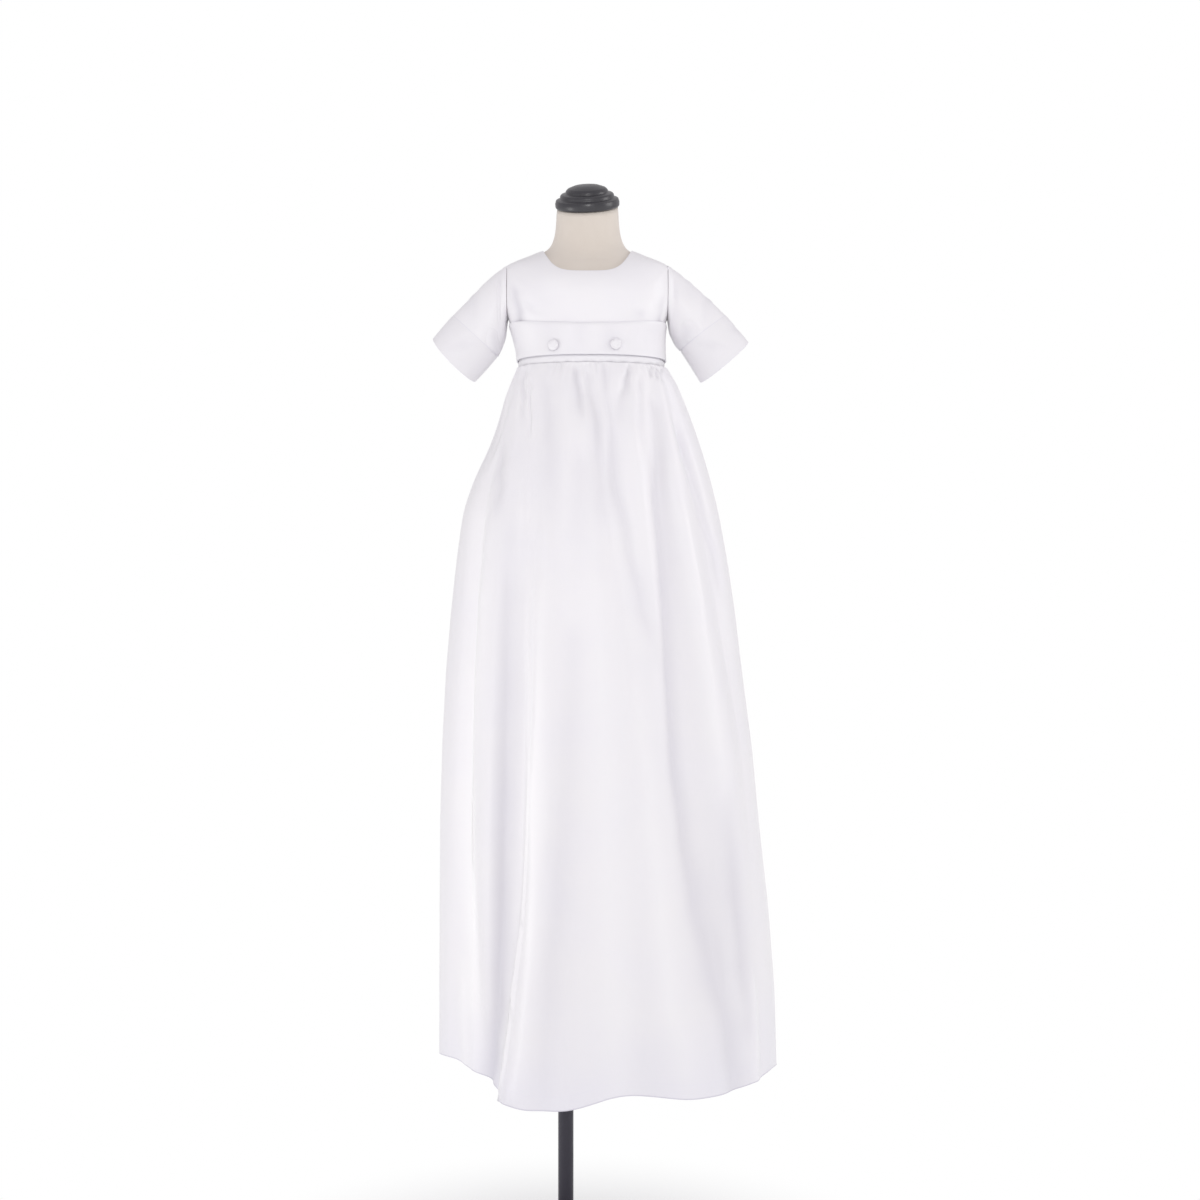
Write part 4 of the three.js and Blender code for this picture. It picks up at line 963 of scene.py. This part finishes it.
class GOWN_OT_buttons(bpy.types.Operator):
    """Makes the covered buttons on the belt"""

    bl_idname = "gown.buttons"
    bl_label = "Covered buttons"

    def execute(self, context):
        radius = context.scene.gown_sizes.button_radius
        for node in ("belt_button_right", "belt_button_left"):
            dome = turned([(radius * share, height) for share, height in BUTTON_OUTLINE], 40)
            for vert in dome.verts:  # small pleats where the cloth is turned under
                away = math.hypot(vert.co.x, vert.co.y) / radius
                tuck = max(0.0, away - 0.7) * max(0.0, 0.0026 - vert.co.z) / 0.0026
                vert.co *= 1 + 0.05 * tuck * math.sin(15 * math.atan2(vert.co.y, vert.co.x))
            co = np.array([v.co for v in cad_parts[node].data.vertices])
            low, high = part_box(node)
            centre = (low + high) / 2
            # a button is thinnest from back to front
            _, directions = np.linalg.eigh(np.cov((co - co.mean(0)).T))
            facing = Vector(directions[:, 0])
            if facing.y > 0:
                facing.negate()
            back = ((co - np.array(centre)) @ np.array(facing)).min()
            seat = centre + facing * float(back)
            bmesh.ops.transform(dome, matrix=Matrix.Translation(seat) @ turn_to(facing), verts=dome.verts)
            piece = as_object(node + "_covered", dome)
            co, _ = points_of(piece)
            mark(piece, "edge", np.ones(len(co)))
            # painted shade: the button is darkened towards its seat, where its cloth turns under and shade
            # falls beneath it
            mark(piece, "fold", -fade(1 - (co - np.array(seat)) @ np.array(facing) / BUTTON_RIM_SHADE))
            lay_threads(piece, centre, facing, UP)
            finish_piece(piece, satin("doubled satin"), node)
        return {"FINISHED"}


class GOWN_OT_form(bpy.types.Operator):
    """Makes the dress form's smooth knitted cover"""

    bl_idname = "gown.form"
    bl_label = "Dress form"

    def execute(self, context):
        body = model_mesh("form_body")
        crease = body.edges.layers.float.new("crease_edge")
        for edge in body.edges:
            if edge.is_manifold and edge.calc_face_angle() > math.radians(45):
                edge[crease] = 0.8
        piece = as_object("form_cover", body)
        refine(piece, 2)
        lay_threads(piece, (FORM_X, 0, 0), UP, FORWARD)
        finish_piece(piece, knitted_jersey(), "form_body")
        return {"FINISHED"}


class GOWN_OT_stand(bpy.types.Operator):
    """Makes the turned cap, the pole, its collar and the round base"""

    bl_idname = "gown.stand"
    bl_label = "Cap and stand"

    def execute(self, context):
        # each outline is a list of (radius, height), from the bottom up
        s = context.scene.stand_sizes
        r = s.cap_radius
        outline = [
            (0, 0), (r - 0.0018, 0), (r - 0.0002, 0.0016), (r, 0.006), (r - 0.0012, 0.010), (r - 0.006, 0.0114),
            (r - 0.0064, 0.015), (r - 0.008, 0.0166), (r - 0.013, 0.0176), (r - 0.0134, 0.0204),
            (r - 0.016, 0.023), (0.015, 0.0258), (0.007, 0.027), (0, 0.027),
        ]
        neck = Vector((-math.tan(LEAN_TO_THE_RIGHT), -math.tan(LEAN_FORWARD), 1))
        place = Matrix.Translation((FORM_X, 0, NECK_TOP)) @ turn_to(neck)
        black = ("neck_cap", "black lacquered wood", "black_turned_cap")
        turned_piece("turned_cap", *black, outline, 72, 0.0007, 3, place)

        steel = ("dark coated steel", "dark_stand")
        bottom, top = (corner[2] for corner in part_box("stand_pole"))
        r = s.pole_radius
        outline = [(0, bottom), (r, bottom), (r, top), (0, top)]
        turned_piece("pole_tube", "stand_pole", *steel, outline, 64, 0.0006)

        bottom, top = (corner[2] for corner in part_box("stand_collar"))
        bore = s.pole_radius + 0.0003
        outline = [
            (bore, bottom), (0.022, bottom), (0.022, bottom + 0.003), (0.0205, bottom + 0.0045),
            (0.0165, bottom + 0.0065), (0.014, bottom + 0.009), (0.0132, bottom + 0.014), (0.013, top - 0.001),
            (0.012, top), (bore, top), (bore, bottom),
        ]
        turned_piece("pole_collar", "stand_collar", *steel, outline, 56, 0.0005)

        r, edge, crown = s.base_radius, s.base_edge, s.base_crown
        outline = [
            (0, 0), (r - 0.0015, 0), (r, 0.0015), (r, edge - 0.0015), (r - 0.0015, edge),
            (r - 0.012, edge + 0.0006), (0.1, crown - 0.0019), (0.06, crown), (0, crown),
        ]
        turned_piece("round_base", "stand_base", *steel, outline, 128, 0.0006)
        return {"FINISHED"}


class GOWN_OT_stage(bpy.types.Operator):
    """Makes the pale floor, the soft light and the camera"""

    bl_idname = "gown.stage"
    bl_label = "Stage"

    def execute(self, context):
        scene, setup = context.scene, context.scene.stage_setup
        ground = bmesh.new()
        bmesh.ops.create_circle(ground, cap_ends=True, segments=96, radius=14.0)
        floor = as_object("floor", ground)
        material, tree, shader = new_material("pale floor", (0.93, 0.93, 0.94))
        wire(tree, shader, {"Base Color": (0.9, 0.9, 0.91, 1), "Roughness": 0.9, "Specular IOR Level": 0.0})
        # the floor fades into the white round about, so that it has no edge
        place = add(tree, "TexCoord").outputs["Object"]
        away = add(tree, "VectorMath", {0: place}, operation="LENGTH").outputs["Value"]
        fading = {"From Min": 0.05, "From Max": 0.5, "Value": away}
        share = add(tree, "MapRange", fading, interpolation_type="SMOOTHSTEP").outputs["Result"]
        glow = add(tree, "Emission", {"Color": (1, 1, 1, 1)}).outputs[0]
        faded = add(tree, "MixShader", {0: share, 1: shader.outputs["BSDF"], 2: glow}).outputs[0]
        output = next(n for n in tree.nodes if n.type == "OUTPUT_MATERIAL")
        wire(tree, output, {"Surface": faded})
        floor.data.materials.append(material)

        world = bpy.data.worlds.new("even light")
        world.use_nodes = True
        tree = world.node_tree
        tree.nodes.clear()
        seen = add(tree, "Background", {"Color": (1, 1, 1, 1), "Strength": 1.0}).outputs[0]
        given = add(tree, "Background", {"Color": (0.995, 0.975, 1.0, 1), "Strength": setup.sky}).outputs[0]
        looked_at = add(tree, "LightPath").outputs["Is Camera Ray"]
        both = add(tree, "MixShader", {0: looked_at, 1: given, 2: seen}).outputs[0]
        add(tree, "OutputWorld", {"Surface": both})
        scene.world = world

        for name, place, aim, size, power in (
            ("key light", (0.1, -2.6, 1.8), (0, 0, 0.7), 0.6, setup.key),
            ("side light", (-2.3, -0.9, 0.35), (0, 0, 0.4), 0.9, setup.side),
            ("right light", (2.2, -0.3, 1.7), (0, 0, 1.0), 1.0, setup.right),
        ):
            lamp = settle(bpy.data.lights.new(name, "AREA"), size=size, energy=power, color=(1.0, 0.995, 0.985))
            light = bpy.data.objects.new(name, lamp)
            scene.collection.objects.link(light)
            light.location = place
            light.rotation_euler = (Vector(aim) - Vector(place)).to_track_quat("-Z", "Y").to_euler()

        lens = bpy.data.cameras.new("camera")
        lens.lens, lens.sensor_width = 52.5, 36.0
        camera = bpy.data.objects.new("camera", lens)
        scene.collection.objects.link(camera)
        camera.location = (0.041, -setup.camera_distance, setup.camera_height)
        camera.rotation_euler = (math.radians(90), 0, 0)
        scene.camera = camera
        scene.view_settings.view_transform = "Standard"
        scene.view_settings.look = "None"
        return {"FINISHED"}


# The operators in the order in which the gown is made.
OPERATORS = (
    GOWN_OT_form, GOWN_OT_bodice, GOWN_OT_sleeves, GOWN_OT_belt,
    GOWN_OT_skirt, GOWN_OT_buttons, GOWN_OT_stand, GOWN_OT_stage,
)


class GOWN_PT_panel(bpy.types.Panel):
    """Sizes and colours of the gown and its stand, and the steps that make them"""

    bl_idname = "GOWN_PT_panel"
    bl_label = "Christening Gown"
    bl_space_type = "VIEW_3D"
    bl_region_type = "UI"
    bl_category = "Gown"

    def draw(self, context):
        for group in GROUPS:
            box = self.layout.box()
            box.label(text=group.replace("_", " ").capitalize())
            owner = getattr(context.scene, group)
            for name in owner.__annotations__:
                box.prop(owner, name)
        for operator in OPERATORS:
            self.layout.operator(operator.bl_idname)


GROUPS = {
    "gown_sizes": GownSizes, "stand_sizes": StandSizes, "gown_colours": GownColours, "stage_setup": StageSetup,
}


def register():
    for cls in (*GROUPS.values(), *OPERATORS, GOWN_PT_panel):
        bpy.utils.register_class(cls)
    for name, cls in GROUPS.items():
        setattr(bpy.types.Scene, name, bpy.props.PointerProperty(type=cls))


def unregister():
    for name in GROUPS:
        delattr(bpy.types.Scene, name)
    for cls in reversed((*GROUPS.values(), *OPERATORS, GOWN_PT_panel)):
        bpy.utils.unregister_class(cls)


def main():
    register()
    for step in ("form", "bodice", "sleeves", "belt", "skirt", "buttons", "stand", "stage"):
        getattr(bpy.ops.gown, step)()


if __name__ == "__main__":
    main()
